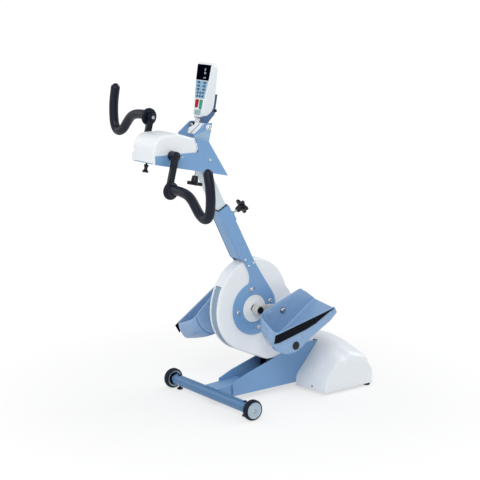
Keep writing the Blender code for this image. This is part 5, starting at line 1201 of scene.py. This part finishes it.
    def _lines(self) -> None:
        """Lighter tube painted as the highlight along the foot of the inner wall, and dark tubes painted as
        the shade inside the heel's rim and down the heel's outer corner.
        """
        # A thin lighter tube painted as the highlight at the foot of the inner wall.
        u = np.linspace(-0.066, self.toe - 0.024, 40)
        rise = self.wall + 0.001 + 0.018 * np.maximum(0.0, (u + 0.032) / 0.168)
        path = self.plane.at(np.stack((u, rise + 0.0022 - self.deep), axis=1),
                             np.full(40, self.near + self.wall + 0.0022))
        Shape().tube(path, 0.0012, 10).piece(self.word + "_floor_highlight_line", self.body, HIGHLIGHT_LINE)
        # A thin dark tube painted as the shade just inside the heel's rim.
        u, x, share = self._plan()
        in_u, in_x = self._inward(u, x)
        top, deep = self.rim(u, x), self.wall + 0.0002
        rise = top - 0.0045
        back = self.bulge(top - rise) * share
        flat = np.stack((u - back + in_u * deep, rise - self.deep), axis=1)
        path = self.plane.at(flat, x + in_x * deep)[share > 0.75]
        Shape().tube(path, 0.0009, 8).piece(self.word + "_heel_painted_shade", self.body, PAINTED_SHADE_LINE)
        # A thin dark tube painted as the shade down the heel's outer corner.
        col = int(np.argmin(np.abs(x - self.near - 0.004) + (u > 0.0)))
        rise = np.linspace(0.012, float(top[col]) - 0.002, 24)
        back = self.bulge(float(top[col]) - rise) * share[col]
        path = self.plane.at(np.stack((u[col] - back, rise - self.deep), axis=1), np.full(24, x[col]))
        Shape().tube(path, 0.0010, 8).piece(self.word + "_corner_painted_shade", self.body, PAINTED_SHADE_LINE)

    def _side_band(self) -> None:
        """Black band along the outer rim, thick at the heel and thin at the toe."""
        heel, toe, bend_r = -self.heel + 0.003, self.toe - 0.012, 0.024
        line = np.array([(heel - 0.021, 0.0275), (heel + 0.004, 0.0325), (-0.011, 0.0300), (0.032, 0.0250),
                         (toe - 0.020, 0.0060), (toe, 0.0040), (toe, 0.0010), (heel - 0.009, 0.0005)])
        rim = self.rim(np.maximum(heel, line[:, 0]), np.full(len(line), self.far))
        corner = np.stack((line[:, 0], rim - self.deep - line[:, 1]), axis=1)
        steps = np.linspace(0.0, 1.0, 16, endpoint=False)[None, :, None]
        flat = (corner[:, None] * (1 - steps) + np.roll(corner, -1, axis=0)[:, None] * steps).reshape(-1, 2)

        def follow(points: Array) -> Array:
            """Bend the band's heel end inwards round the shell's corner."""
            u = (points - np.array(self.axis)) @ np.array(self.plane.first)
            past = np.clip(-self.heel + 0.002 - u, 0.0, 0.0235)
            inwards = bend_r - np.sqrt(bend_r ** 2 - past ** 2)
            return points - inwards[:, None] * np.array(self.plane.depth)

        band = Shape().slab(flat, self.far + GAP, self.far + GAP + 0.003, 0.0006, self.plane)
        band.warp(follow).piece(self.word + "_side_band", self.body, STRAP, (self.word + "_foot_strap",))

    def _pivot(self) -> None:
        """Pedal spindle, domed bolt with its ring, two rivets and the round plug low on the outer wall."""
        x0, end, out = self.near + self.wall, 0.060, (self.side, 0, 0)
        line = [(0.045, 0.0), (0.045, 0.009), (0.0474, 0.009), (0.0474, 0.006), (end + 0.0006, 0.006),
                (end + 0.0006, 0.011), (end + 0.010, 0.0115), (self.near - 0.006, 0.0135),
                (self.near - 0.0006, 0.015), (self.near - 0.0006, 0.006), (x0 + GAP, 0.006),
                (x0 + 0.0006, 0.0095), (x0 + 0.003, 0.0090), (x0 + 0.0055, 0.006), (x0 + 0.0065, 0.0)]
        Shape().turn(line, 0.0005, self.axis, out, 48).piece(
            self.word + "_pedal_pin", self.body, STEEL, (self.word + "_pedal_spindle",))
        washer = [(x0 + 0.0004, 0.0098), (x0 + 0.0004, 0.0118), (x0 + 0.0014, 0.0115), (x0 + 0.0014, 0.0098)]
        Shape().turn(washer, 0.0003, self.axis, out, 48, 2, closed=True).piece(
            self.word + "_pin_ring", self.body, BRONZE)
        boss = self.plane.at(np.array([-0.0515, 0.0232]), x0 + 0.0002)
        line = [(0.0, 0.0), (0.0, 0.0092), (0.0010, 0.0090), (0.0018, 0.0070), (0.0020, 0.0)]
        Shape().turn(line, 0.0006, boss, out).piece(self.word + "_strap_boss", self.body, SHELL)
        rivets, head = Shape(), [(0.0, 0.0), (0.0, 0.0026), (0.0014, 0.0022), (0.0018, 0.0)]
        for spot in self.plane.at([(-0.0501, 0.0307), (-0.0528, 0.0156)], x0 + 0.0012):
            rivets.turn(head, 0.0006, spot, out, 24)
        rivets.piece(self.word + "_rivets", self.body, BRIGHT)
        plug = self.plane.at(np.array([-0.072, -0.0705]), self.far + GAP)
        line = [(0.0, 0.0), (0.0, 0.0145), (0.0010, 0.0145), (0.0020, 0.0132), (0.0022, 0.0)]
        Shape().turn(line, 0.0006, plug, out).piece(self.word + "_round_plug", self.body, BLACK)


@dataclass
class StarKnob:
    """Five-lobed clamp knob on a steel stem."""

    radius: float = 0.028

    def build(self, name: str, node: str, body: str, place: Array, axis: Sequence[float],
              stem: float) -> None:
        """Build the knob: lobe radius by angle and height, with rolled rims, and its stem.

        Args:
            name: Name of the piece.
            node: CAD node that it replaces.
            body: Moving body that carries it.
            place: Foot of the stem.
            axis: Direction from the foot to the head.
            stem: Length of the stem.
        """
        unit = np.asarray(axis, float)
        a = np.linspace(0.0, 2 * math.pi, 100, endpoint=False)
        lobe = self.radius * (0.76 + 0.235 * np.cos(5 * a))
        low, high, r = stem - 0.004, stem + 0.007, 0.0035
        t = np.radians(np.linspace(0.0, 90.0, 7))
        rows = [(0.0, low), (0.5, low)]
        rows += [(1.0 - r / self.radius * (1 - math.sin(v)), low + r * (1 - math.cos(v))) for v in t]
        rows += [(1.0 - r / self.radius * (1 - math.cos(v)), high - r * (1 - math.sin(v))) for v in t]
        rows += [(0.55, high - 0.0002), (0.40, high - 0.0012), (0.0, high - 0.0014)]
        side = np.cross(unit, (1.0, 0.0, 0.0))
        side /= np.linalg.norm(side)
        other = np.cross(unit, side)
        ring = np.cos(a)[:, None] * side + np.sin(a)[:, None] * other
        grid = np.stack([place + unit * h + ring * (lobe * f)[:, None] for f, h in rows])
        neck = [(stem - 0.024, 0.0), (stem - 0.024, 0.0095), (stem - 0.003, 0.0125), (stem - 0.003, 0.0)]
        head = Shape().grid(grid, wrap=True).turn(neck, 0.002, place, unit, 48, 4)
        head.piece(name, body, BLACK, (node,))
        Shape().lathe(rod(0.0, stem - 0.020, 0.004, 0.0005), place, unit, 32).piece(
            name + "_stem", body, BRIGHT)


@dataclass
class Mast:
    """Clamp plates, outer tube, guide bush, inner tube and height knob."""

    off: float = 0.0526  # tubes' middle behind the line through the leg axle
    wide: float = 0.0523
    deep: float = 0.046
    wall: float = 0.0025
    low: float = 0.186  # ends of the outer tube along the mast
    top: float = 0.381
    inner_wide: float = 0.041
    inner_deep: float = 0.036
    inner_low: float = 0.265  # ends of the inner tube
    inner_top: float = 0.600
    clamp_s: float = 0.330  # height knob's place along the mast, and its bore
    clamp_r: float = 0.0045
    pivot: tuple[float, float] = (0.060, 0.575)  # bolt of the arm unit, and its bore
    pivot_r: float = 0.0053

    def build(self) -> None:
        """Build every piece of the mast."""
        for word in ("right", "left"):
            rounded_copy(word + "_clamp_plate", word + "_mast_yoke", "mast", PAINT, 0.0008)
        self._square_tube("outer_mast_tube", "mast", PAINT, "mast_outer", self.wide, self.deep,
                          self.low, self.top)
        self._square_tube("inner_mast_tube", "mast_slide", TUBE, "mast_inner", self.inner_wide,
                          self.inner_deep, self.inner_low, self.inner_top)
        rounded_copy("mast_mouth_bush", "mast_bush", "mast", BLACK, 0.0004)
        boss, s = self.off + self.deep / 2, self.clamp_s
        outline = soften([(boss - 0.001, s - 0.022), (boss + 0.010, s - 0.018), (boss + 0.010, s + 0.018),
                          (boss - 0.001, s + 0.022)], 0.003, 4)
        nut = Shape().slab(outline, -0.020, 0.020, 0.002, MAST).raw("clamp_nut_block")
        bore(nut, 0.0, 0.10, self.clamp_r, MAST.at([self.off, s]), MAST_BACK)
        dress(nut, "mast", PAINT)
        stem_foot = MAST.at([self.off + self.inner_deep / 2 + GAP, s])
        StarKnob().build("height_star_knob", "height_knob", "height_clamp", stem_foot, MAST_BACK, 0.064)
        self._bolts()

    def _square_tube(self, name: str, body: str, finish: Finish, node: str, wide: float, deep: float,
                     low: float, top: float) -> None:
        """Square tube: a rounded outline carried along the mast, over the mouth and back inside.

        Args:
            name: Name of the piece.
            body: Moving body that carries it.
            finish: Its surface finish.
            node: CAD node that it replaces.
            wide: Width across the machine.
            deep: Depth fore and aft.
            low: Lower end along the mast.
            top: Upper end along the mast.
        """
        corners = [(-deep / 2, -wide / 2), (deep / 2, -wide / 2), (deep / 2, wide / 2), (-deep / 2, wide / 2)]
        outer = soften(corners, 0.0055, 6)
        lip, inner_lip = inset(outer, 0.0006), inset(outer, self.wall - 0.0006)
        inner, rows = inset(outer, self.wall), []
        for outline, heights in ((outer, (low + 0.0006, low + 0.002, top - 0.002, top - 0.0006)),
                                 (lip, (top,)), (inner_lip, (top,)),
                                 (inner, (top - 0.0006, low + 0.0006)), (inner_lip, (low,)), (lip, (low,))):
            for s in heights:
                flat = np.stack((self.off + outline[:, 0], np.full(len(outline), s)), axis=1)
                rows.append(MAST.at(flat, outline[:, 1]))
        made = Shape().grid(np.stack(rows), wrap=True, loop=True).raw(name)
        if node == "mast_outer":
            bore(made, 0.0, 0.10, self.clamp_r, MAST.at([self.off, self.clamp_s]), MAST_BACK)
        else:
            bore(made, -0.06, 0.06, self.pivot_r, MAST.at(self.pivot), (1, 0, 0))
        dress(made, body, finish, (node,), 30.0)

    def _bolts(self) -> None:
        """Three small screws that join each clamp plate to the outer tube."""
        face = COVER_X + GAP + YOKE_T
        line = [(0.0, 0.0), (0.0, 0.0042), (0.0010, 0.0042), (0.0022, 0.003), (0.0024, 0.0)]
        shape = Shape()
        for side in (1, -1):
            for spot in MAST.at([(0.0457, 0.1738), (0.0482, 0.1468), (0.0693, 0.1446)], side * face):
                shape.turn(line, 0.0005, spot, (side, 0, 0), 24)
        shape.piece("plate_screws", "mast", BRIGHT)


@dataclass
class ArmUnit:
    """Folded bracket, white casing, clamp knob, pull pin and pivot bolt."""

    pivot: tuple[float, float] = (-0.2113, 0.8531)  # bolt at the mast's top, side view
    arm: tuple[float, float] = (-0.3650, 0.8800)  # arm axle, side view
    half: float = 0.0615  # half the casing's width
    wall: float = 0.003
    bracket_t: float = 0.003
    slope: float = 0.2113  # fall of the underside
    lip_x: float = 0.009  # how far in a lip reaches

    def __post_init__(self) -> None:
        """Work out the casing's ends from the axle and the pivot."""
        self.front = self.arm[0] - 0.065
        self.rear = self.pivot[0] - 0.0447
        self.top = self.arm[1] + 0.066

    def _low(self, y: float) -> float:
        """Height of the bracket's sloping underside."""
        return self.arm[1] - 0.025 - self.slope * (y - self.front)

    def build(self) -> None:
        """Build every piece of the arm unit."""
        outside = self.half + GAP * 2 + self.bracket_t
        self._bracket(outside)
        self._casing()
        line = [(-outside - 0.0030, 0.0), (-outside - 0.0026, 0.0045), (-outside, 0.0058), (-outside, 0.005),
                (outside, 0.005), (outside, 0.0058), (outside + 0.0026, 0.0045), (outside + 0.0030, 0.0)]
        Shape().turn(line, 0.0008, (0, *self.pivot), (1, 0, 0), 40, 4).piece(
            "mast_pivot_bolt", "arm_unit", BRIGHT, ("pivot_bolt",))
        down = np.array([0.0, -self.slope, -1.0]) / math.hypot(self.slope, 1.0)
        y = self.pivot[0] - 0.0352
        seat = np.array([0.036, y, self._low(y) + self.bracket_t])
        StarKnob().build("tilt_star_knob", "tilt_knob", "tilt_clamp", seat - down * 0.004, down, 0.047)
        y = self.arm[0] - 0.037
        seat = np.array([-0.020, y, self._low(y) + self.bracket_t])
        line = [(-0.004, 0.0), (-0.004, 0.0036), (0.0075, 0.0036), (0.0075, 0.0075), (0.014, 0.0075),
                (0.018, 0.005), (0.025, 0.0065), (0.029, 0.0105), (0.033, 0.0105), (0.034, 0.0)]
        Shape().turn(line, 0.001, seat, down, 40, 4).piece("pull_pin", "plunger", BLACK, ("lock_plunger",))

    def _bracket(self, outside: float) -> None:
        """Folded bracket, white lips in front of its cheeks, thin sheets of paler paint on its ears as
        painted light, and its side bolts.

        Args:
            outside: Outer face of a cheek.
        """
        held = rounded_copy("folded_bracket", "arm_bracket", "arm_unit", PAINT, 0.0008)
        move_points(held, lambda spots: np.maximum(spots, (-1.0, self.front + 0.0030, -1.0)))
        near, far = self.front + 0.0003, self.front + 0.0035
        low, high = self._low(self.front) - 0.0004, self.arm[1] + 0.003
        lip = [(near, low), (far, low), (far, high), (near, high)]
        # Thin sheets on the ears' outer faces in paler paint: painted light where the ears face up.
        light_leaf = [(-0.2490, 0.9094), (-0.2022, 0.9094), (-0.1955, 0.940), (-0.2145, 0.9475), (-0.2588, 0.9335)]
        bolt = [(-0.001, 0.0), (-0.001, 0.0038), (0.0014, 0.0034), (0.0022, 0.0020), (0.0022, 0.0)]
        lips, light_leaves, bolts = Shape(), Shape(), Shape()
        for side in (1, -1):
            lips.slab(lip, side * (self.half - self.lip_x), side * (outside + 0.0004), 0.0012)
            light_leaves.slab(light_leaf, side * 0.0440, side * 0.0449, 0.0002)
            bolts.lathe(bolt, (side * outside, -0.3227, 0.8718), (side, 0, 0), 32)
        lips.piece("casing_front_lips", "arm_unit", WHITE)
        light_leaves.piece("ear_painted_light_sheets", "arm_unit", LIT_FRAME_PAINT)
        bolts.piece("axle_side_bolts", "arm_unit", BRIGHT)

    def _casing(self) -> None:
        """Casing: its side view as a plate with broad rounds, hollow and open towards the bracket."""
        corner = 0.046
        points = [(self.rear, self._low(self.rear) + self.bracket_t + GAP),
                  (self.rear, self.arm[1] + 0.018), (self.rear - 0.009, self.top - 0.020),
                  (self.arm[0] + 0.034, self.top)]
        round_nose = arc((self.front + corner, self.top - corner), corner, 90.0, 180.0, 14)
        lower = (self.front, self._low(self.front) + self.bracket_t + GAP * 2)
        outline = np.vstack((soften(points, 0.008, 5, closed=False), round_nose, [lower]))
        made = Shape().slab(outline, -self.half, self.half, 0.011, SIDE, 7).raw("arm_drive_cover")
        room = inset(outline, self.wall)
        room[[0, -1]] -= np.array([0.0, 0.03])
        reach = self.half - 0.0095
        pocket(made, room, -reach, reach)
        bore(made, -0.1, 0.1, 0.010, (0, *self.arm), (1, 0, 0), 40)
        dress(made, "arm_unit", WHITE, ("arm_casing",), 30.0)


@dataclass
class ArmCrank:
    """One arm crank, its bolts, and the bent grip that swivels at its end."""

    side: int
    axle: tuple[float, float] = (-0.3650, 0.8800)
    length: float = 0.110
    turn_deg: float = 14.0  # from straight down
    bar_x: float = 0.084  # inner face of the bar
    bar_t: float = 0.010
    pin_out: float = 0.009  # how far the spindle shows behind the bar
    grip_r: float = 0.0155
    flange_r: float = 0.029
    path: tuple[tuple[float, float], ...] = (
        (0.100, 0.004), (0.132, 0.005), (0.166, 0.003), (0.193, -0.003), (0.214, -0.015), (0.233, -0.033),
        (0.250, -0.050), (0.267, -0.0605), (0.283, -0.064), (0.298, -0.058), (0.308, -0.042),
        (0.3119, -0.018), (0.3124, 0.010), (0.309, 0.040), (0.302, 0.070), (0.297, 0.089))

    def __post_init__(self) -> None:
        """Work out where the grip's axis lies."""
        a = math.radians(self.turn_deg)
        self.word = "right" if self.side > 0 else "left"
        self.pin = (self.axle[0] - self.side * self.length * math.sin(a),
                    self.axle[1] - self.side * self.length * math.cos(a))

    def build(self) -> None:
        """Build the crank and the grip."""
        rounded_copy(self.word + "_marked_crank", self.word + "_arm_crank", "arm_crank", CRANK, 0.0012)
        end = self.bar_x + self.bar_t
        bolt = [(end - 0.001, 0.0), (end - 0.001, 0.0095), (end + 0.0035, 0.009), (end + 0.0050, 0.006),
                (end + 0.0050, 0.0035), (end + 0.003, 0.0032), (end + 0.003, 0.0)]
        Shape().turn(bolt, 0.0006, (0, *self.axle), (self.side, 0, 0)).piece(
            self.word + "_crank_bolt", "arm_crank", BLACK)
        inner = self.bar_x - self.pin_out
        head = [(inner + 0.001, 0.0), (inner + 0.001, 0.0062), (inner - 0.0012, 0.0058),
                (inner - 0.0020, 0.0040), (inner - 0.0020, 0.0)]
        Shape().lathe(head, (0, *self.pin), (self.side, 0, 0), 32).piece(
            self.word + "_grip_bolt", self.word + "_grip", BRIGHT)
        self._grip(end)

    def _grip(self, end: float) -> None:
        """Spindle and flange, then a round sleeve along a path that turns down, out and up.

        Args:
            end: Outer face of the crank.
        """
        face = end + 0.001 + GAP * 2
        inner, collar, wide = self.bar_x - self.pin_out, self.bar_x - 0.0046, self.flange_r
        line = [(inner, 0.0), (inner, 0.0095), (collar, 0.0095), (collar, 0.006), (face, 0.006),
                (face, wide - 0.003), (face + 0.002, wide), (face + 0.006, wide),
                (face + 0.010, self.grip_r + 0.004), (face + 0.022, self.grip_r + 0.0028),
                (face + 0.024, self.grip_r - 0.001), (face + 0.024, 0.0)]
        shape = Shape().turn(line, 0.0012, (0, *self.pin), (self.side, 0, 0), 64, 4)
        count, end_round = 110, 0.008
        out, up = resample(self.path, count).T
        middle = np.stack((self.side * out, np.full(count, self.pin[0]), self.pin[1] + up), axis=1)
        step = np.linalg.norm(np.diff(middle, axis=0), axis=1).mean()
        rest = np.minimum(np.arange(count)[::-1] * step, end_round)
        radius = self.grip_r - 0.0055 * (1 - rest / end_round) ** 2
        tip = middle[-1] + (middle[-1] - middle[-2]) / step * 0.006
        middle = np.vstack((middle, [middle[-1] * 0.4 + tip * 0.6, tip]))
        radius = np.concatenate((radius, [self.grip_r - 0.0085, 0.0008]))
        shape.tube(middle, radius, 40)
        shape.piece(self.word + "_grip_sleeve", self.word + "_grip", GRIP, (self.word + "_handle",), 45.0)


@dataclass(frozen=True)
class Patch:
    """Four-sided area on the handset's face, its depth, and how much its top stands out on each side."""

    x: tuple[float, float]
    h: tuple[float, float]
    deep: float = 0.0
    spread: float = 0.0

    def outline(self, grow: float, corner: float) -> Array:
        """Outline of the area.

        Args:
            grow: How far it stands out from the area on every side.
            corner: Size of its rounded corners.

        Returns:
            The outline's points.
        """
        (x0, x1), (h0, h1), top = self.x, self.h, self.spread + grow
        return soften([(x0 - grow, h0 - grow), (x1 + grow, h0 - grow), (x1 + top, h1 + grow),
                       (x0 - top, h1 + grow)], corner, 4)


@dataclass
class Handset:
    """Tilting cradle and the handset with window, keypad and two keys."""

    cradle: tuple[float, float] = (-0.2050, 0.9550)  # tilt axis, side view
    tilt: float = math.radians(11.0)  # face's lean from upright
    tall: float = 0.179
    wide: float = 0.084
    foot: float = 0.047  # width at the foot
    thick: float = 0.042  # thickness below, and at the top
    top_t: float = 0.0225
    window: Patch = Patch((-0.0345, 0.0345), (0.1205, 0.1715), 0.0012, 0.0028)
    pad: Patch = Patch((-0.0248, 0.0248), (0.0610, 0.1185), 0.0010, 0.0082)
    red: Patch = Patch((-0.0185, -0.0035), (0.030, 0.057), 0.0030, 0.0018)
    green: Patch = Patch((0.0040, 0.0175), (0.026, 0.057), 0.0030, 0.0018)
    under: tuple[tuple[float, float], ...] = (
        (-0.014, -0.003), (-0.010, 0.0035), (0.000, 0.0080), (0.008, 0.0140), (0.0145, 0.0225),
        (0.0185, 0.033), (0.0215, 0.046))

    def __post_init__(self) -> None:
        """Work out the handset's own plane: across, up the face, and out of the face."""
        origin = (0.0, self.cradle[0] + 0.0083, self.cradle[1] + 0.028)
        c, s = math.cos(self.tilt), math.sin(self.tilt)
        self.face = Plane(origin, (1, 0, 0), (0, s, c), (0, -c, s))
        self.profile = Plane(origin, (0, c, -s), (0, s, c), (1, 0, 0))
        self.into = (0.0, c, -s)

    def build(self) -> None:
        """Build the cradle, the body and what its face carries."""
        self._cradle()
        self._body()
        self._display()
        self._keypad()
        self._keys()

    def _cradle(self) -> None:
        """Round cover on its pins, back plate and the white tongue in front."""
        inside, head = 0.042 - GAP, 0.042 + 0.0025 + GAP
        line = [(-head - 0.004, 0.0), (-head - 0.004, 0.0075), (-head, 0.009), (-head, 0.004),
                (-inside, 0.004), (-inside, 0.0095), (-inside + 0.0015, 0.011), (inside - 0.0015, 0.011),
                (inside, 0.0095), (inside, 0.004), (head, 0.004), (head, 0.010), (head + 0.004, 0.0105),
                (head + 0.006, 0.008), (head + 0.006, 0.0)]
        shape = Shape().turn(line, 0.0008, (0, *self.cradle), (1, 0, 0), 64)
        tongue = [(-0.006, 0.0145), (-0.016, 0.012), (-0.030, -0.006), (-0.036, -0.021), (-0.032, -0.0225),
                  (-0.0265, -0.0085), (-0.0135, 0.0075), (-0.003, 0.008)]
        flat = soften(np.array(tongue) + np.array(self.cradle), 0.003, 4)
        shape.slab(flat, -0.022, 0.034, 0.0012)
        stub = [(-0.0145, 0.0012), (-0.0140, -0.0035), (-0.008, -0.006), (-0.008, -0.022), (0.004, -0.022),
                (0.006, 0.0080), (0.000, 0.0074), (-0.0095, 0.0030)]
        shape.slab(stub, -0.026, -0.006, 0.0007, self.profile)
        shape.piece("tilt_joint_cover", "handset", CREAM, ("cradle",))
        Shape().slab(np.array(stub) * (1.0, 0.98), -0.0055, 0.0065, 0.0015, self.profile).piece(
            "joint_bright_stub", "handset", BRIGHT)
        back = self.thick / 2 + 0.006
        neck = [(-0.0125, 0.0010), (-0.009, -0.004), (-0.008, -0.022), (0.005, -0.022), (0.013, -0.007),
                (back + 0.003, 0.016), (back + 0.003, 0.082), (back, 0.082), (back, 0.034), (0.0222, 0.0460),
                (0.0192, 0.0325), (0.0152, 0.0218), (0.0086, 0.0132), (0.0004, 0.0073), (-0.0098, 0.0029)]
        # Plates in a blue that is partly painted shade from the handset in front of them.
        Shape().slab(neck, 0.0070, 0.026, 0.0006, self.profile).piece("cradle_back_plate", "handset", SLATE_AND_SHADE)
        wide = [(back + 0.003, 0.024), (back + 0.003, 0.082), (back, 0.082), (back, 0.024)]
        Shape().slab(wide, -0.026, 0.0068, 0.0006, self.profile).piece("cradle_rear_leaf", "handset", SLATE_AND_SHADE)
        self._joint_fittings(head, back)

    def _joint_fittings(self, head: float, back: float) -> None:
        """Knobs, dial and the painted shade line along the slot of the tilting joint.

        Args:
            head: Where the joint's end cover starts, outwards from the middle.
            back: Front of the back plate, behind the handset's middle.
        """
        post = [(0.0, 0.0), (0.0, 0.0055), (0.0045, 0.0055), (0.0060, 0.0040), (0.0064, 0.0)]
        spot = self.profile.at([back + 0.0015, 0.0285], 0.026)
        Shape().turn(post, 0.0008, spot, (1, 0, 0), 32).piece("plate_side_knob", "handset", BLACK)
        nose = (-0.0150, self.cradle[0] - 0.0190, self.cradle[1] + 0.0060)
        ahead = np.array([0.25, -0.93, 0.28])
        dial = [(-0.004, 0.0), (-0.004, 0.0105), (0.0030, 0.0105), (0.0045, 0.0090), (0.0040, 0.0060),
                (0.0035, 0.0)]
        Shape().turn(dial, 0.0008, nose, ahead).piece("joint_black_dial", "handset", BLACK)
        tip = [(0.003, 0.0), (0.003, 0.0052), (0.0052, 0.0048), (0.0062, 0.0)]
        Shape().turn(tip, 0.0010, nose, ahead, 32).piece("joint_dial_tip", "handset", BRIGHT)
        # A thin dark tube painted as the shade in the slot between the tongue's white strip and the tongue.
        mark = self.cradle + np.array([(-0.0168, 0.0118), (-0.0240, 0.0028), (-0.0303, -0.0056),
                                       (-0.0333, -0.0125), (-0.0362, -0.0202)])
        slot = np.stack((np.linspace(0.0228, -0.0020, 5), *mark.T), axis=1)
        Shape().tube(resample(slot, 24), 0.0008, 8).piece("tongue_slot_painted_shade", "handset", PAINTED_SHADE_LINE)
        knob = [(head + 0.0065, 0.0), (head + 0.0065, 0.0070), (head + 0.010, 0.0070), (head + 0.0115, 0.005),
                (head + 0.012, 0.0)]
        Shape().turn(knob, 0.001, (0, *self.cradle), (1, 0, 0), 40, 4).piece(
            "joint_end_knob", "handset", BRIGHT)

    def _body(self) -> None:
        """Tapered case with rounded rims, a slanting back and shallow recesses in its face."""
        half, foot, front = self.wide / 2, self.foot / 2, self.thick / 2
        outline = soften([(-foot, 0.006), (-foot + 0.008, 0.0), (foot - 0.008, 0.0), (foot, 0.006),
                          (half - 0.006, 0.100), (half, self.tall - 0.012), (half - 0.010, self.tall),
                          (-half + 0.010, self.tall), (-half, self.tall - 0.012), (-half + 0.006, 0.100)],
                         0.006, 6)
        made = Shape().slab(outline, -front, front, 0.0032, self.face, 5).raw("handset_case")
        thin = self.top_t - front
        wedge = [(front + 0.001, 0.028), (front + 0.03, 0.028), (front + 0.03, self.tall + 0.02),
                 (thin - 0.002, self.tall + 0.02), (thin, self.tall)]
        pocket(made, wedge, -0.06, 0.06, self.profile)
        pocket(made, [*self.under, (0.05, 0.046), (0.05, -0.003)], -0.06, 0.06, self.profile)
        tools = Shape()
        for patch in (self.window, self.pad, self.red, self.green):
            tools.slab(patch.outline(GAP, 0.0012), front - patch.deep, front + 0.004, 0.0, self.face)
        carve(made, tools.raw("cutter"))
        dress(made, "handset", CASE, ("handset_body",), 30.0)

    def _panel(self, shape: Shape, patch: Patch, low: float, high: float, corner: float, edge: float,
               grow: float = 0.0) -> Shape:
        """Add a small rounded block on the face.

        Args:
            shape: Shape that takes it.
            patch: Where it lies on the face.
            low: Its back, measured out of the face.
            high: Its front.
            corner: Size of its rounded corners.
            edge: Radius of its rim.
            grow: How far its outline stands out from the patch.

        Returns:
            The same shape.
        """
        face = self.thick / 2
        return shape.slab(patch.outline(grow, corner), face + low, face + high, edge, self.face, 3)

    def _digit(self, shape: Shape, figure: str, x: float, h: float, tall: float, high: float) -> None:
        """Add one figure made of seven bars.

        Args:
            shape: Shape that takes the bars.
            figure: A digit.
            x: Middle of the figure across.
            h: Foot of the figure.
            tall: Its height.
            high: Height of the bars above the face.
        """
        lit = {"0": "abcdef", "1": "bc", "2": "abged", "3": "abgcd", "4": "fgbc", "5": "afgcd", "6": "afgedc",
               "7": "abc", "8": "abcdefg", "9": "abfgcd"}[figure]
        w, t = tall * 0.27, tall * 0.07
        bars = {"a": (-w, w, tall - 2 * t, tall), "g": (-w, w, tall / 2 - t, tall / 2 + t),
                "d": (-w, w, 0, 2 * t),
                "f": (-w, -w + 2 * t, tall / 2, tall), "b": (w - 2 * t, w, tall / 2, tall),
                "e": (-w, -w + 2 * t, 0, tall / 2), "c": (w - 2 * t, w, 0, tall / 2)}
        for key in lit:
            x0, x1, h0, h1 = bars[key]
            self._panel(shape, Patch((x + x0, x + x1), (h + h0, h + h1)), high - 0.0001, high, 0.0001, 0.0)

    def _display(self) -> None:
        """Dark window with a small plain read-out: two rows of figures and a level bar."""
        glass = self._panel(Shape(), self.window, GAP - self.window.deep, 0.0002, 0.0012, 0.0003)
        glass.piece("dark_display", "handset", LENS, ("display_lens",))
        lit = Shape()
        self._digit(lit, "0", 0.0085, 0.1510, 0.0085, 0.0003)
        for figure, x in (("1", 0.0050), ("5", 0.0092), ("0", 0.0134)):
            self._digit(lit, figure, x, 0.1415, 0.0058, 0.0003)
        for k in range(4):
            bar = Patch((0.0045 + 0.0030 * k, 0.0065 + 0.0030 * k), (0.1275, 0.1290 + 0.0010 * k))
            self._panel(lit, bar, 0.0002, 0.0003, 0.0001, 0.0)
        lit.piece("display_figures", "handset", GLYPH)

    def _keypad(self) -> None:
        """Pale membrane with rows of dark keys, three to a row below and two above."""
        sheet = self._panel(Shape(), self.pad, GAP - self.pad.deep, 0.0003, 0.0015, 0.0003)
        sheet.piece("key_membrane", "handset", PAD, ("keypad",))
        keys, marks = Shape(), Shape()
        for row, columns in enumerate((3, 3, 2, 2, 2)):
            middle = 0.0680 + row * 0.0112
            half, pitch = (0.0046, 0.0142) if columns == 3 else (0.0068, 0.0300 + 0.0016 * (row - 2))
            for col in range(columns):
                x = (col - (columns - 1) / 2) * pitch
                key = Patch((x - half, x + half), (middle - 0.0031, middle + 0.0031))
                self._panel(keys, key, 0.0001, 0.0013, 0.0024, 0.0007)
                line = Patch((x - half / 2, x + half / 2), (middle - 0.0004, middle + 0.0004))
                self._panel(marks, line, 0.0013, 0.0014, 0.0002, 0.0)
        keys.piece("soft_keys", "handset", KEYS)
        marks.piece("key_marks", "handset", PAD)

    def _keys(self) -> None:
        """Red and green keys and the grey-green panel below them."""
        for word, finish, patch in (("red", RED, self.red), ("green", GREEN, self.green)):
            cap = self._panel(Shape(), patch, -0.0015, 0.0016, 0.0025, 0.0010, -0.0004)
            cap.piece(word + "_press_key", word + "_key", finish, (word + "_button",))
        foot = Patch((-0.0165, 0.0165), (0.0065, 0.0235), spread=0.0018)
        self._panel(Shape(), foot, -0.0002, 0.0003, 0.0065, 0.0002).piece("foot_panel", "handset", FOIL)


def main() -> None:
    """Build the stage and every sub-assembly, and dress what stays of the CAD inside."""
    logging.basicConfig(level=logging.INFO, format="%(name)s: %(message)s")
    Stage().build()
    BaseFrame().build()
    Drum().build()
    Housing().build()
    LegDrive().build()
    for side in (1, -1):
        FootShell(side).build()
    Mast().build()
    ArmUnit().build()
    for side in (1, -1):
        ArmCrank(side).build()
    Handset().build()
    for node, finish in INSIDE.items():
        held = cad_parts[node]
        held.data.materials.clear()
        held.data.materials.append(finish.material())


if __name__ == "__main__":
    main()
